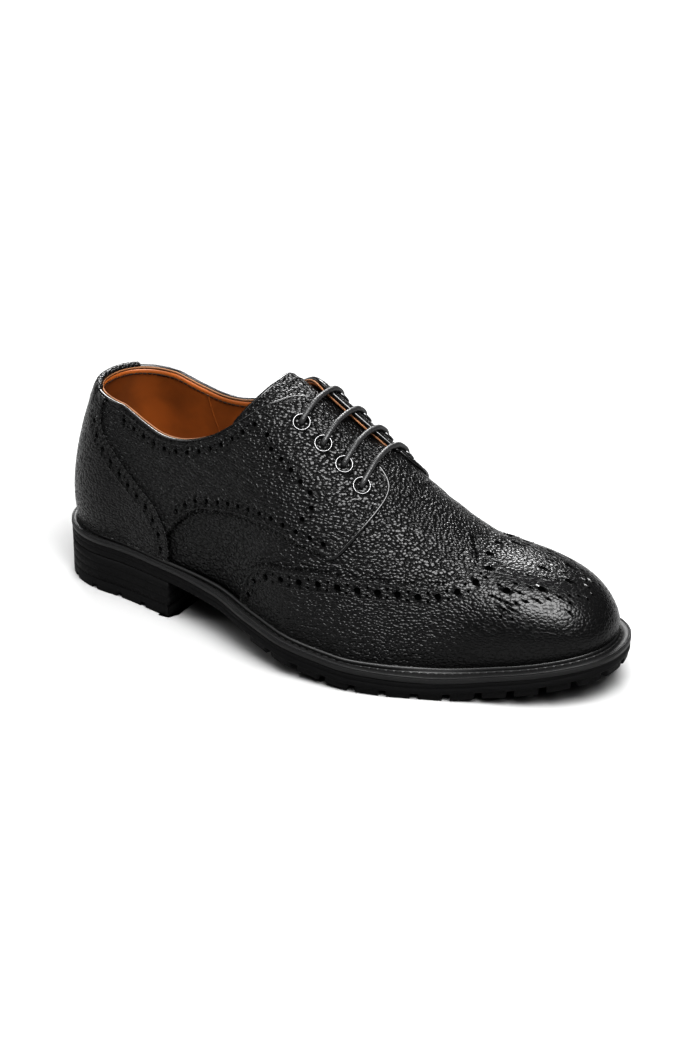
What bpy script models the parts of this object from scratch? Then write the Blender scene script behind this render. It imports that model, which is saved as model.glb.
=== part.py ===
"""A right brogue derby shoe with an open lacing, standing empty on its sole.

Metres, +Z up. +X runs to the toe, -Y is the outer side of the foot, and the floor is z = 0.
The origin lies on the floor under the middle of the heel.

The upper, its overlays and the tongue are all cut from one surface, the form of the last.
A place on it is a station x along the foot and a signed girth: the distance q to the side
of the ridge, measured on the flattened plan, which is zero on the ridge and reaches the
half width of the last at the feather line, where the upper meets the welt.
"""

import math

import bmesh
import bpy
import numpy as np
from mathutils import Matrix, Vector

# Driving sizes of the last
SOLE_LENGTH = 0.304
SOLE_OVER_LAST = 0.0155
LAST_LENGTH = SOLE_LENGTH - SOLE_OVER_LAST
BALL_WIDTH = 0.094
CROWN_HEIGHT = 0.110
TOE_ROUND = 0.055
HEEL_ROUND = 0.033
PLAN_POWER = 2.2
SIDE_BULGE = 0.0025
BULGE_AT = 0.22
TOE_SWING = 0.011
BACK_LEAN = 0.0135

# Heights of the sole's upper edge over the floor
HEEL_RISE = 0.0292
BALL_RISE = 0.0124
TOE_RISE = 0.0265

# Sole and heel
WELT_MARGIN = 0.0085
WELT_THICK = 0.0030
OUTSOLE_THICK = 0.0061
LUG_DEPTH = 0.0034
LUG_PITCH = 0.0152
LUG_GAP = 0.0034
LUG_INWARD = 0.015
LUG_INSET = 0.0008
HEEL_LENGTH = 0.078
LIFT_THICK = 0.0060
NOTCH_WIDTH = 0.0034
NOTCH_HEIGHT = 0.0024
NOTCH_DEPTH = 0.006
BEAD_HEIGHT = 0.0022
BEAD_WIDTH = 0.0018
BEAD_GAP = 0.0008
WELT_UNDER = 0.0035
INSOLE_THICK = 0.0038

# Leather
UPPER_WALL = 0.0020
OVERLAY_WALL = 0.0012
COUNTER_WALL = 0.0017
TONGUE_WALL = 0.0018
SEAM_GAP = 0.0006
OVERLAY_GAP = 0.0006
OVERLAY_HOLLOW = 0.0003
TONGUE_GAP = 0.0009
TURN_RADIUS = 0.012
CLEARANCE = 0.0003

# Lacing
EYELETS = 4
EYELET_OUTER = 0.0040
EYELET_BORE = 0.0019
EYELET_BARREL = 0.0025
FLANGE_THICK = 0.0008
LACE_RADIUS = 0.00125
LACE_RISE = 0.0030

# The last in sections: lengths as shares of the sizes that head each column.
LAST_COLUMNS = ("station", "lateral", "medial", "crown", "fullness", "bulge", "swing", "lean",
                "margin_lateral", "margin_medial")
LAST_SECTIONS = (
    # sole length, ball width x2, crown, power, bulge, swing, lean, welt margin x2
    (0.016, 0.282, 0.293, 0.945, 2.45, 1.00, 0.00, 1.00, 0.82, 0.82),
    (0.125, 0.293, 0.303, 0.973, 2.40, 1.00, 0.00, 0.74, 0.58, 0.58),
    (0.247, 0.362, 0.324, 1.000, 2.25, 0.60, 0.00, 0.22, 0.43, 0.43),
    (0.362, 0.420, 0.330, 1.005, 2.15, 0.40, 0.00, 0.00, 0.64, 0.45),
    (0.454, 0.516, 0.346, 0.936, 2.10, 0.40, 0.00, 0.00, 0.71, 0.46),
    (0.533, 0.574, 0.383, 0.845, 2.00, 0.40, 0.05, 0.00, 0.71, 0.50),
    (0.609, 0.569, 0.426, 0.736, 1.85, 0.40, 0.18, 0.00, 0.76, 0.57),
    (0.674, 0.521, 0.457, 0.605, 1.90, 0.40, 0.36, 0.00, 0.95, 0.66),
    (0.757, 0.420, 0.473, 0.450, 2.20, 0.40, 0.55, 0.00, 1.10, 0.84),
    (0.839, 0.351, 0.452, 0.368, 2.45, 0.60, 0.73, 0.00, 1.02, 0.98),
    (0.921, 0.324, 0.394, 0.314, 2.55, 0.60, 0.91, 0.00, 1.00, 1.00),
    (0.977, 0.314, 0.378, 0.259, 2.60, 0.60, 1.00, 0.00, 1.00, 1.00),
)

# Rise of the sole's edge: share of the heel's lift over the ball, and of the toe's.
RISE_COLUMNS = ("station", "heel", "toe")
RISE_SECTIONS = (
    (0.00, 1.00, 0.00),
    (0.20, 1.00, 0.00),
    (0.27, 0.98, 0.00),
    (0.36, 0.88, 0.00),
    (0.46, 0.61, 0.00),
    (0.56, 0.27, 0.00),
    (0.66, 0.05, 0.00),
    (0.74, 0.00, 0.00),
    (0.86, 0.00, 0.35),
    (1.00, 0.00, 1.00),
)

# Lines drawn on the last: station as a share of the sole's length, and share of the girth.
COLLAR = ((0.132, 0.535), (0.176, 0.590), (0.227, 0.614), (0.271, 0.609), (0.312, 0.580),
          (0.351, 0.529), (0.385, 0.450), (0.413, 0.350), (0.437, 0.245), (0.455, 0.160),
          (0.472, 0.104))
FACING = ((0.472, 0.104), (0.500, 0.096), (0.543, 0.102), (0.572, 0.114), (0.597, 0.128))
FACING_FRONT = ((0.597, 0.128), (0.613, 0.148), (0.623, 0.185), (0.626, 0.255), (0.622, 0.350),
                (0.613, 0.453), (0.600, 0.557), (0.588, 0.622), (0.576, 0.648))
QUARTER_HEM = ((0.266, 0.884), (0.279, 0.862), (0.299, 0.828), (0.324, 0.797),
               (0.367, 0.773), (0.414, 0.738), (0.458, 0.704), (0.499, 0.683), (0.535, 0.664),
               (0.576, 0.648))
COUNTER_EDGE = ((0.110, 0.506), (0.107, 0.556), (0.108, 0.611), (0.121, 0.682), (0.143, 0.728),
                (0.192, 0.789), (0.228, 0.831), (0.250, 0.882), (0.259, 0.925), (0.260, 0.975))
WING_EDGE = ((0.738, 0.000), (0.756, 0.100), (0.773, 0.205), (0.774, 0.322), (0.759, 0.416),
             (0.728, 0.509), (0.674, 0.587), (0.618, 0.660), (0.557, 0.725), (0.497, 0.787),
             (0.465, 0.823), (0.443, 0.862), (0.428, 0.915), (0.418, 0.970))
EYELET_PLACES = ((0.480, 0.256), (0.520, 0.256), (0.5575, 0.262), (0.591, 0.283))
# The lace over a facing: share of the way from eyelet to ridge, height as a share of the rise.
LACE_PATH = ((0.0, -0.35), (0.0, 0.30), (0.06, 0.80), (0.25, 1.00), (0.60, 0.95), (1.00, 0.60))
# How finely the sheets are cut
UPPER_RUNS = (10, 6, 13, 7)
UPPER_STEPS = 11
QUARTER_RUNS = (15, 6)
WING_STEPS = 19
WING_RULES = 10
COUNTER_STEPS = 12
COUNTER_RULES = 7
BACK_STEPS = 5
TONGUE_STEPS = (11, 9)
EYELET_STEPS = 8
LACE_STEPS = 11
QUARTER_SKIP_STEPS = 2
RING_STEPS = 37
LUG_FROM = 0.450
BARS_FROM = 0.560
BARS_TO = 0.860
NOTCH_FROM = 0.018
NOTCH_PITCH = 0.0163
TONGUE_TOP = 0.417
TONGUE_FRONT = 0.672
TONGUE_HALF = 0.170
TONGUE_DROP = 0.007
TONGUE_TAPER = 0.22

SHARP_ANGLE = math.radians(40)
LATERAL = -1.0
MEDIAL = 1.0


def smooth_table(stations, values):
    """A monotone cubic through the given values, as a function of the station."""
    x = np.asarray(stations, dtype=float)
    y = np.asarray(values, dtype=float)
    step = np.diff(x)
    slope = np.diff(y) / step
    tangent = np.zeros_like(y)
    before, after = slope[:-1], slope[1:]
    heavy, light = 2 * step[1:] + step[:-1], step[1:] + 2 * step[:-1]
    same = before * after > 0
    mean = (heavy + light) / (heavy / np.where(same, before, 1) + light / np.where(same, after, 1))
    tangent[1:-1] = np.where(same, mean, 0)
    tangent[0], tangent[-1] = slope[0], slope[-1]

    def value(at):
        at = np.clip(np.asarray(at, dtype=float), x[0], x[-1])
        i = np.clip(np.searchsorted(x, at) - 1, 0, len(x) - 2)
        t = (at - x[i]) / step[i]
        start = y[i] * (1 + 2 * t) * (1 - t) ** 2 + step[i] * tangent[i] * t * (1 - t) ** 2
        end = y[i + 1] * t**2 * (3 - 2 * t) + step[i] * tangent[i + 1] * t**2 * (t - 1)
        return start + end

    return value


def columns(names, rows, scales):
    """One smooth function of x for each named column of a table, in metres where it is scaled."""
    table = np.array(rows)
    x = table[:, 0] * SOLE_LENGTH
    return {name: smooth_table(x, table[:, i] * scales.get(name, 1.0))
            for i, name in enumerate(names) if i > 0}


LAST = columns(LAST_COLUMNS, LAST_SECTIONS, {
    "lateral": BALL_WIDTH, "medial": BALL_WIDTH, "crown": CROWN_HEIGHT, "bulge": SIDE_BULGE,
    "swing": TOE_SWING, "lean": BACK_LEAN, "margin_lateral": WELT_MARGIN,
    "margin_medial": WELT_MARGIN})
RISE = columns(RISE_COLUMNS, RISE_SECTIONS, {
    "heel": HEEL_RISE - BALL_RISE, "toe": TOE_RISE - BALL_RISE})
LAST_BACK = WELT_MARGIN * LAST_SECTIONS[0][8]
LAST_TIP = LAST_BACK + LAST_LENGTH
HEEL_CENTRE = LAST_BACK + HEEL_ROUND
TOE_CENTRE = LAST_TIP - TOE_ROUND
ORIGIN_X = HEEL_LENGTH / 2


def sole_top(x):
    """Height of the sole's upper edge at a station."""
    return BALL_RISE + RISE["heel"](x) + RISE["toe"](x)


def half_width(x, q):
    return np.where(q < 0, LAST["lateral"](x), LAST["medial"](x))


def round_share(x):
    """How far a station has run into the rounded heel or toe, from 0 to 1."""
    return np.maximum(0, x - TOE_CENTRE) / TOE_ROUND + np.maximum(0, HEEL_CENTRE - x) / HEEL_ROUND


def last_surface(x, q):
    """The last's point for a plan station and signed girth.

    The girth share runs a quarter turn from ridge to feather line. Its sine and cosine, made
    a superellipse by the section's fullness, carry the point out to the side and up.
    """
    x, q = np.broadcast_arrays(np.asarray(x, dtype=float), np.asarray(q, dtype=float))
    width = half_width(x, q)
    centre = np.clip(x, HEEL_CENTRE, TOE_CENTRE)
    share = ((np.abs(q) / width) ** PLAN_POWER + round_share(x) ** PLAN_POWER) ** (1 / PLAN_POWER)
    share = np.maximum(share, 1e-6)
    turn = np.minimum(share, 1.0) * math.pi / 2
    fullness = LAST["fullness"](x)
    sine, cosine = np.sin(turn), np.maximum(np.cos(turn), 0)
    size = (sine**fullness + cosine**fullness) ** (1 / fullness)
    out, up = sine / size, cosine / size
    plan_x = centre + (x - centre) * out / share
    swell = LAST["bulge"](plan_x) * (up / BULGE_AT) * np.exp(1 - up / BULGE_AT)
    away_x = (x - centre) / np.where(x > centre, TOE_ROUND, HEEL_ROUND)
    away_y = q / width
    away = np.maximum(np.hypot(away_x, away_y), 1e-9)
    px = plan_x + swell * away_x / away + LAST["lean"](plan_x) * up**2
    py = LAST["swing"](plan_x) + q * out / share + swell * away_y / away
    pz = sole_top(plan_x) + CLEARANCE + LAST["crown"](plan_x) * up
    return np.stack([px, py, pz], axis=-1)


def last_normal(x, q):
    """The last's outward unit normal, from two short steps across the surface."""
    step = 0.0004
    along = last_surface(x + step, q) - last_surface(x - step, q)
    across = last_surface(x, q + step) - last_surface(x, q - step)
    normal = np.cross(along, across)
    return normal / np.linalg.norm(normal, axis=-1, keepdims=True)


def on_last(x, q, offset):
    return last_surface(x, q) + last_normal(x, q) * np.asarray(offset)[..., None]


def girth_at_height(x, height):
    """The girth share of the surface's level at a height over the feather line."""
    up = height / LAST["crown"](x)
    fullness = LAST["fullness"](x)
    out = (1 - up**fullness) ** (1 / fullness)
    return np.arctan2(out, up) * 2 / math.pi


def plan_loop(count):
    """Half the plan outline of the last, heel to toe: stations and unsigned girth shares."""
    turn = np.linspace(0, math.pi, count)
    x = (LAST_BACK + LAST_TIP) / 2 - LAST_LENGTH / 2 * np.cos(turn)
    return x, np.maximum(1 - round_share(x) ** PLAN_POWER, 0) ** (1 / PLAN_POWER)


FINE_STEPS = 161
FINE = np.linspace(0, 1, FINE_STEPS)


def even_shares(points, count):
    """Where to cut lines over the last so that their chords stray from it about evenly.

    Each short step counts its length plus its turn times a radius, as a mean over the lines.
    """
    step = np.diff(points, axis=-2)
    length = np.linalg.norm(step, axis=-1)
    unit = step / np.maximum(length, 1e-12)[..., None]
    turn = np.arccos(np.clip((unit[..., 1:, :] * unit[..., :-1, :]).sum(axis=-1), -1, 1))
    cost = length.reshape(-1, length.shape[-1]).mean(axis=0)
    cost[1:] += TURN_RADIUS * turn.reshape(-1, turn.shape[-1]).mean(axis=0)
    run = np.concatenate([[0], np.cumsum(cost)])
    return np.interp(np.linspace(0, run[-1], count), run, np.linspace(0, 1, len(run)))


def drawn_line(points, count):
    """A smooth line through drawn points, cut evenly over the last: stations, girth shares."""
    drawn = np.array(points) * (SOLE_LENGTH, BALL_WIDTH / 2)
    run = np.concatenate([[0], np.cumsum(np.hypot(*np.diff(drawn, axis=0).T))])
    padded = np.vstack([2 * drawn[0] - drawn[1], drawn, 2 * drawn[-1] - drawn[-2]])
    before = np.diff(run, prepend=-run[1])
    after = np.diff(run, append=2 * run[-1] - run[-2])
    slope = (padded[2:] - padded[:-2]) / (before + after)[:, None]

    def line(share):
        at = share * run[-1]
        i = np.clip(np.searchsorted(run, at) - 1, 0, len(run) - 2)
        step = (run[i + 1] - run[i])[:, None]
        t = (at - run[i])[:, None] / step
        place = (drawn[i] * (1 + 2 * t) * (1 - t) ** 2 + step * slope[i] * t * (1 - t) ** 2
                 + drawn[i + 1] * t**2 * (3 - 2 * t) + step * slope[i + 1] * t**2 * (t - 1))
        return place[:, 0], place[:, 1] / (BALL_WIDTH / 2)

    fine = last_surface(*signed(*line(FINE), LATERAL))
    return line(even_shares(fine, count))


def signed(x, share, side):
    """Stations and signed girths of a line that was drawn as girth shares."""
    return x, side * np.abs(share) * half_width(x, np.full_like(x, side))


# Building of objects
def make_collections():
    for old in list(bpy.data.objects):
        bpy.data.objects.remove(old)
    shoe = bpy.data.collections.new("brogue_shoe")
    cutters = bpy.data.collections.new("cutters")
    for made in (shoe, cutters):
        bpy.context.scene.collection.children.link(made)
    cutters.hide_render = True
    return shoe, cutters


SHOE, CUTTERS = make_collections()


def leather_black():
    return finish("upper_leather", (0.012, 0.012, 0.013, 1), 0.38, 0.0)


def leather_tan():
    return finish("lining_leather", (0.42, 0.20, 0.07, 1), 0.5, 0.0)


def welt_leather():
    return finish("welt_leather", (0.02, 0.02, 0.021, 1), 0.5, 0.0)


def rubber_black():
    return finish("sole_rubber", (0.018, 0.018, 0.019, 1), 0.62, 0.0)


def eyelet_metal():
    return finish("eyelet_enamel", (0.015, 0.015, 0.016, 1), 0.3, 0.6)


def lace_cotton():
    return finish("waxed_lace", (0.016, 0.016, 0.017, 1), 0.55, 0.0)


def finish(name, colour, roughness, metallic):
    """The Principled material of that name, made once."""
    if name in bpy.data.materials:
        return bpy.data.materials[name]
    material = bpy.data.materials.new(name)
    material.use_nodes = True
    shader = material.node_tree.nodes["Principled BSDF"]
    shader.inputs["Base Color"].default_value = colour
    shader.inputs["Roughness"].default_value = roughness
    shader.inputs["Metallic"].default_value = metallic
    material.diffuse_color = colour
    return material


def add_object(name, points, faces, material):
    """An object in the model's frame, moved so that the origin lies under the heel."""
    mesh = bpy.data.meshes.new(name)
    shifted = np.asarray(points) - (ORIGIN_X, 0, 0)
    mesh.from_pydata([tuple(point) for point in shifted], [], [tuple(face) for face in faces])
    mesh.validate()
    mesh.shade_smooth()
    obj = bpy.data.objects.new(name, mesh)
    SHOE.objects.link(obj)
    if material:
        mesh.materials.append(material)
    shape = bmesh.new()
    shape.from_mesh(mesh)
    bmesh.ops.recalc_face_normals(shape, faces=shape.faces)
    shape.to_mesh(mesh)
    shape.free()
    mesh.set_sharp_from_angle(angle=SHARP_ANGLE)
    return obj


def thick_sheet(name, x, q, low, high, material, ring=False, hollow=0.0):
    """A sheet of leather: a plan grid lifted to two offsets of the last and closed at its rim.

    The grid is [around, across]. As a ring its rows close on themselves. Behind its rim the
    underside is hollowed, so that it clears the flat facets of what it covers.
    """
    rows, cols = x.shape
    size = rows * cols
    lifted = np.full_like(x, low)
    lifted[1:-1, 1:-1] += hollow
    under, over = on_last(x, q, lifted), on_last(x, q, np.full_like(x, high))
    points = np.concatenate([under.reshape(-1, 3), over.reshape(-1, 3)])
    index = np.arange(size).reshape(rows, cols)
    following = np.roll(index, -1, axis=0)
    if not ring:
        index, following = index[:-1], following[:-1]
    quads = np.stack([index[:, :-1], following[:, :-1], following[:, 1:], index[:, 1:]], axis=-1)
    quads = quads.reshape(-1, 4)
    faces = [quads, quads[:, ::-1] + size]
    for column, flip in ((0, 1), (cols - 1, -1)):
        rim = np.stack([index[:, column], index[:, column] + size,
                        following[:, column] + size, following[:, column]], axis=-1)
        faces.append(rim[:, ::flip])
    if not ring:
        for row, flip in ((np.arange(cols), -1), (np.arange(cols) + size - cols, 1)):
            rim = np.stack([row[:-1], row[:-1] + size, row[1:] + size, row[1:]], axis=-1)
            faces.append(rim[:, ::flip])
    return add_object(name, points, np.concatenate(faces), material)


def blend_grid(start, end, steps):
    """A plan grid of straight rulings between two lines of (stations, signed girths)."""
    def rule(t):
        x = start[0][:, None] * (1 - t) + end[0][:, None] * t
        return x, start[1][:, None] * (1 - t) + end[1][:, None] * t

    return rule(even_shares(last_surface(*rule(FINE[None, :])), steps)[None, :])


# Upper
def opening_half(count_front, count_facing, count_collar, count_back):
    """Half the upper's opening, from the throat's front end to the middle of the back."""
    facing_x, facing_g = drawn_line(FACING[::-1], count_facing)
    front_half = facing_g[0]
    turn = np.linspace(0, math.pi / 2, count_front, endpoint=False)
    reach = front_half * BALL_WIDTH / 2
    front_x = facing_x[0] + reach * np.cos(turn)
    front_g = front_half * np.sin(turn)
    collar_x, collar_g = drawn_line(COLLAR[::-1], count_collar)
    turn = np.linspace(math.pi / 2, 0, count_back + 1)[1:]
    share = COLLAR[0][1]
    back_x = HEEL_CENTRE - HEEL_ROUND * share * np.cos(turn) ** (2 / PLAN_POWER)
    back_g = share * np.sin(turn) ** (2 / PLAN_POWER)
    x = np.concatenate([front_x, facing_x, collar_x[1:], back_x])
    return x, np.concatenate([front_g, facing_g, collar_g[1:], back_g])


def outline_half(counts):
    """Half the upper's foot, from the toe to the back, in step with the opening."""
    loop_x, loop_g = (line[::-1] for line in plan_loop(FINE_STEPS))
    points = np.stack([loop_x, loop_g * BALL_WIDTH / 2], axis=-1)
    run = np.concatenate([[0], np.cumsum(np.hypot(*np.diff(points, axis=0).T))])
    marks = np.interp([FACING[-1][0] * SOLE_LENGTH, COLLAR[-1][0] * SOLE_LENGTH, HEEL_CENTRE],
                      loop_x[::-1], run[::-1])
    stops = np.concatenate([[0], marks, [run[-1]]])
    at = [np.linspace(a, b, n, endpoint=False) for a, b, n in zip(stops, stops[1:], counts)]
    at = np.concatenate([*at, [run[-1]]])
    return np.interp(at, run, loop_x), np.interp(at, run, loop_g)


def both_sides(half):
    """A closed ring of a half line: outer side forwards, then inner side back."""
    x, share = half
    lateral = signed(x, share, LATERAL)
    medial = signed(x[1:-1][::-1], share[1:-1][::-1], MEDIAL)
    return np.concatenate([lateral[0], medial[0]]), np.concatenate([lateral[1], medial[1]])


def build_upper():
    front, facing, collar, back = UPPER_RUNS
    opening = both_sides(opening_half(front, facing, collar, back))
    outline = both_sides(outline_half((front, facing - 1, collar - 1, back)))
    x, q = blend_grid(opening, outline, UPPER_STEPS)
    return thick_sheet("upper", x, q, -UPPER_WALL, 0.0, leather_black(), ring=True)


def foot_line(end, toe, count):
    """Half an overlay's foot just over the welt's bead, from a station round toe or heel."""
    loop_x, loop_g = plan_loop(FINE_STEPS)
    if toe:
        loop_x, loop_g = loop_x[::-1], loop_g[::-1]
    run = np.concatenate([[0], np.cumsum(np.hypot(np.diff(loop_x), np.diff(loop_g * BALL_WIDTH / 2)))])
    stop = np.interp(end, loop_x[::-1], run[::-1]) if toe else np.interp(end, loop_x, run)
    at = np.linspace(stop, 0, count)
    x, share = np.interp(at, run, loop_x), np.interp(at, run, loop_g)
    level = girth_at_height(x, BEAD_HEIGHT + SEAM_GAP)
    centre = np.clip(x, HEEL_CENTRE, TOE_CENTRE)
    return centre + (x - centre) * level, share * level


def over_the_end(half):
    """A whole line of a half one that ends on the middle plane: outer side, then inner side."""
    lateral = signed(*half, LATERAL)
    medial = signed(half[0][:-1][::-1], half[1][:-1][::-1], MEDIAL)
    return np.concatenate([lateral[0], medial[0]]), np.concatenate([lateral[1], medial[1]])


def build_overlay(name, foot, edge, steps, wall):
    """A piece of leather over the upper, from its foot line to its upper edge."""
    x, q = blend_grid(over_the_end(foot), over_the_end(edge), steps)
    thick_sheet(name, x, q, OVERLAY_GAP, OVERLAY_GAP + wall, leather_black(), hollow=OVERLAY_HOLLOW)


def build_wing_cap():
    edge = tuple(line[::-1] for line in drawn_line(WING_EDGE, WING_STEPS))
    foot = foot_line(WING_EDGE[-1][0] * SOLE_LENGTH, True, WING_STEPS)
    build_overlay("wing_cap", foot, edge, WING_RULES, OVERLAY_WALL)


def counter_line():
    """Half the counter's front edge, from its foot up to the collar, at fixed places."""
    return drawn_line(COUNTER_EDGE[::-1], COUNTER_STEPS)


def build_counter():
    edge_x, edge_g = counter_line()
    across = edge_g[-1] / COLLAR[0][1]
    turn = np.linspace(math.asin(across ** (PLAN_POWER / 2)), 0, BACK_STEPS + 1)[1:]
    top_x = HEEL_CENTRE - HEEL_ROUND * COLLAR[0][1] * np.cos(turn) ** (2 / PLAN_POWER)
    top_g = COLLAR[0][1] * np.sin(turn) ** (2 / PLAN_POWER)
    edge = np.concatenate([edge_x, top_x]), np.concatenate([edge_g, top_g])
    foot = foot_line(COUNTER_EDGE[-1][0] * SOLE_LENGTH, False, COUNTER_STEPS + BACK_STEPS)
    build_overlay("heel_counter", foot, edge, COUNTER_RULES, COUNTER_WALL)


def coons_grid(bottom, top, left, right):
    """A plan grid inside four lines: the rulings both ways, less the flat patch of the corners."""
    s = np.linspace(0, 1, len(bottom))[:, None, None]
    t = np.linspace(0, 1, len(left))[None, :, None]
    across = bottom[:, None] * (1 - t) + top[:, None] * t
    along = left[None] * (1 - s) + right[None] * s
    flat = ((bottom[0] * (1 - s) + bottom[-1] * s) * (1 - t) + (top[0] * (1 - s) + top[-1] * s) * t)
    return across + along - flat


def build_quarter(side):
    """A quarter: from the counter's edge along the collar and the facing, down to its hem."""
    collar_steps, facing_steps = QUARTER_RUNS
    edge_x, edge_g = counter_line()
    left = edge_x[QUARTER_SKIP_STEPS:] + SEAM_GAP, edge_g[QUARTER_SKIP_STEPS:] - SEAM_GAP / BALL_WIDTH * 2
    low, high = ((left[0][end] / SOLE_LENGTH, left[1][end]) for end in (0, -1))
    collar = drawn_line((high, *COLLAR), collar_steps)
    facing = drawn_line(FACING, facing_steps)
    right = drawn_line(FACING_FRONT[::-1], len(left[0]))
    bottom = drawn_line((low, *QUARTER_HEM), collar_steps + facing_steps - 1)
    top = np.concatenate([collar[0], facing[0][1:]]), np.concatenate([collar[1], facing[1][1:]])
    lines = [np.stack(line, axis=-1) for line in (bottom, top, left, right)]
    grid = coons_grid(*lines)
    x = grid[..., 0]
    q = side * grid[..., 1] * half_width(x, np.full_like(x, side))
    name = "quarter_lateral" if side == LATERAL else "quarter_medial"
    return thick_sheet(name, x, q, OVERLAY_GAP, OVERLAY_GAP + OVERLAY_WALL, leather_black(),
                       hollow=OVERLAY_HOLLOW)


def build_tongue():
    """The tongue: a sheet under the facings, round at its free top end."""
    across = np.linspace(-1, 1, TONGUE_STEPS[0])[:, None]
    along = np.linspace(0, 1, TONGUE_STEPS[1])[None, :]
    top = TONGUE_TOP * SOLE_LENGTH - TONGUE_DROP * across**2 - TONGUE_DROP / 2 * across**8
    x = top * (1 - along) + TONGUE_FRONT * SOLE_LENGTH * along
    q = across * TONGUE_HALF * BALL_WIDTH * (1 - TONGUE_TAPER * along**2)
    high = -UPPER_WALL - TONGUE_GAP
    return thick_sheet("tongue", x, q, high - TONGUE_WALL, high, leather_black())


# Sole
def feather_ring(count):
    """The feather line in plan, its outward normals and the welt's margins, as closed rings."""
    x, share = plan_loop(count)
    lateral, medial = signed(x, share, LATERAL), signed(x[1:-1][::-1], share[1:-1][::-1], MEDIAL)
    plan = np.concatenate([lateral[0], medial[0]]), np.concatenate([lateral[1], medial[1]])
    ring = np.stack([plan[0], plan[1] + LAST["swing"](plan[0])], axis=-1)
    along = np.roll(ring, -1, axis=0) - np.roll(ring, 1, axis=0)
    normal = np.stack([along[:, 1], -along[:, 0]], axis=-1)
    normal /= np.linalg.norm(normal, axis=-1, keepdims=True)
    low = np.arange(len(ring)) < count
    margin = np.where(low, LAST["margin_lateral"](ring[:, 0]), LAST["margin_medial"](ring[:, 0]))
    return ring, normal, margin


def even_ring(count, inset):
    """The sole's outline drawn in by an inset, as `count` points at even steps, with normals."""
    ring, normal, margin = feather_ring(FINE_STEPS)
    edge = ring + normal * (margin - inset)[:, None]
    closed = np.vstack([edge, edge[:1]])
    run = np.concatenate([[0], np.cumsum(np.hypot(*np.diff(closed, axis=0).T))])
    at = np.linspace(0, run[-1], count, endpoint=False)
    points = np.stack([np.interp(at, run, closed[:, i]) for i in range(2)], axis=-1)
    along = np.roll(points, -1, axis=0) - np.roll(points, 1, axis=0)
    outward = np.stack([along[:, 1], -along[:, 0]], axis=-1)
    return points, outward / np.linalg.norm(outward, axis=-1, keepdims=True)


def ring_faces(rows, cols):
    """Quads of a tube whose rows close on themselves and whose cross-section closes too."""
    index = np.arange(rows * cols).reshape(rows, cols)
    ahead = np.roll(index, -1, axis=0)
    quads = np.stack([index, ahead, np.roll(ahead, -1, axis=1), np.roll(index, -1, axis=1)], axis=-1)
    return quads.reshape(-1, 4)


def build_welt():
    """The welt: a flat band with a bevelled edge and a raised bead against the upper."""
    ring, normal, margin = feather_ring(RING_STEPS)
    bead = BEAD_GAP + BEAD_WIDTH
    section = (
        (-WELT_UNDER, 0, -WELT_THICK), (0, 1, -WELT_THICK), (0, 1, -WELT_THICK * 0.35),
        (-WELT_THICK * 0.3, 1, 0), (bead, 0, 0), (bead - BEAD_WIDTH * 0.2, 0, BEAD_HEIGHT),
        (BEAD_GAP + BEAD_WIDTH * 0.2, 0, BEAD_HEIGHT), (BEAD_GAP, 0, 0), (-WELT_UNDER, 0, 0))
    rows = []
    for offset, of_margin, height in section:
        plan = ring + normal * (margin * of_margin + offset)[:, None]
        rows.append(np.column_stack([plan, sole_top(plan[:, 0]) + height]))
    points = np.stack(rows, axis=1)
    faces = ring_faces(len(ring), len(section))
    return add_object("welt", points.reshape(-1, 3), faces, welt_leather())


def bent_plate(name, inset, top, bottom, material, tail=None):
    """A plate in the sole's outline: rings of side wall, closed by strips from side to side.

    `inset` draws the outline in from the welt's edge. `top` and `bottom` give heights at x,
    and `tail` keeps only what lies behind that station.
    """
    ring, normal, margin = feather_ring(RING_STEPS)
    edge = ring + normal * (margin - inset)[:, None]
    lateral, medial = edge[1:RING_STEPS - 1], edge[RING_STEPS:][::-1]
    if tail is not None:
        start = max(lateral[0, 0], medial[0, 0])
        stations = start + (tail - start) * (1 - np.cos(np.linspace(0, math.pi / 2, 13)))
        lateral, medial = (np.column_stack([stations, np.interp(stations, side[:, 0], side[:, 1])])
                           for side in (lateral, medial))
    return plate_between(name, lateral, medial, top, bottom, material)


def plate_between(name, lateral, medial, top, bottom, material):
    """A closed plate between two side lines, flat across, with the given heights."""
    count = len(lateral)
    corners = []
    for line, height in ((lateral, bottom), (lateral, top), (medial, top), (medial, bottom)):
        corners.append(np.column_stack([line, height(line[:, 0]) + np.zeros(count)]))
    points = np.stack(corners, axis=1).reshape(-1, 3)
    index = np.arange(count * 4).reshape(count, 4)
    quads = np.stack([index[:-1], index[1:], np.roll(index[1:], -1, axis=1),
                      np.roll(index[:-1], -1, axis=1)], axis=-1).reshape(-1, 4)
    ends = np.array([index[0], index[-1][::-1]])
    return add_object(name, points, np.concatenate([quads, ends]), material)


def join_into(name, parts):
    """One object of the separate closed shapes, kept with the cutters."""
    shape = bmesh.new()
    for part in parts:
        shape.from_mesh(part.data)
        bpy.data.objects.remove(part)
    mesh = bpy.data.meshes.new(name)
    shape.to_mesh(mesh)
    shape.free()
    obj = bpy.data.objects.new(name, mesh)
    CUTTERS.objects.link(obj)
    obj.hide_render = True
    obj.display_type = "WIRE"
    return obj


def combine(obj, other, operation, crossing=False):
    """A live cut or union; `crossing` says that the other's own parts run into one another."""
    modifier = obj.modifiers.new(operation.lower(), "BOOLEAN")
    modifier.operation = operation
    modifier.solver = "EXACT"
    modifier.use_self = crossing
    modifier.object = other


def outline_run(inset):
    """The sole's outline as a line from the middle of the back round the outer side and the toe."""
    points, normal = even_ring(3 * FINE_STEPS, inset)
    start = np.argmin(points[:, 0])
    points, normal = np.roll(points, -start, axis=0), np.roll(normal, -start, axis=0)
    run = np.concatenate([[0], np.cumsum(np.hypot(*np.diff(points, axis=0).T))])
    return points, normal, run


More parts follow.
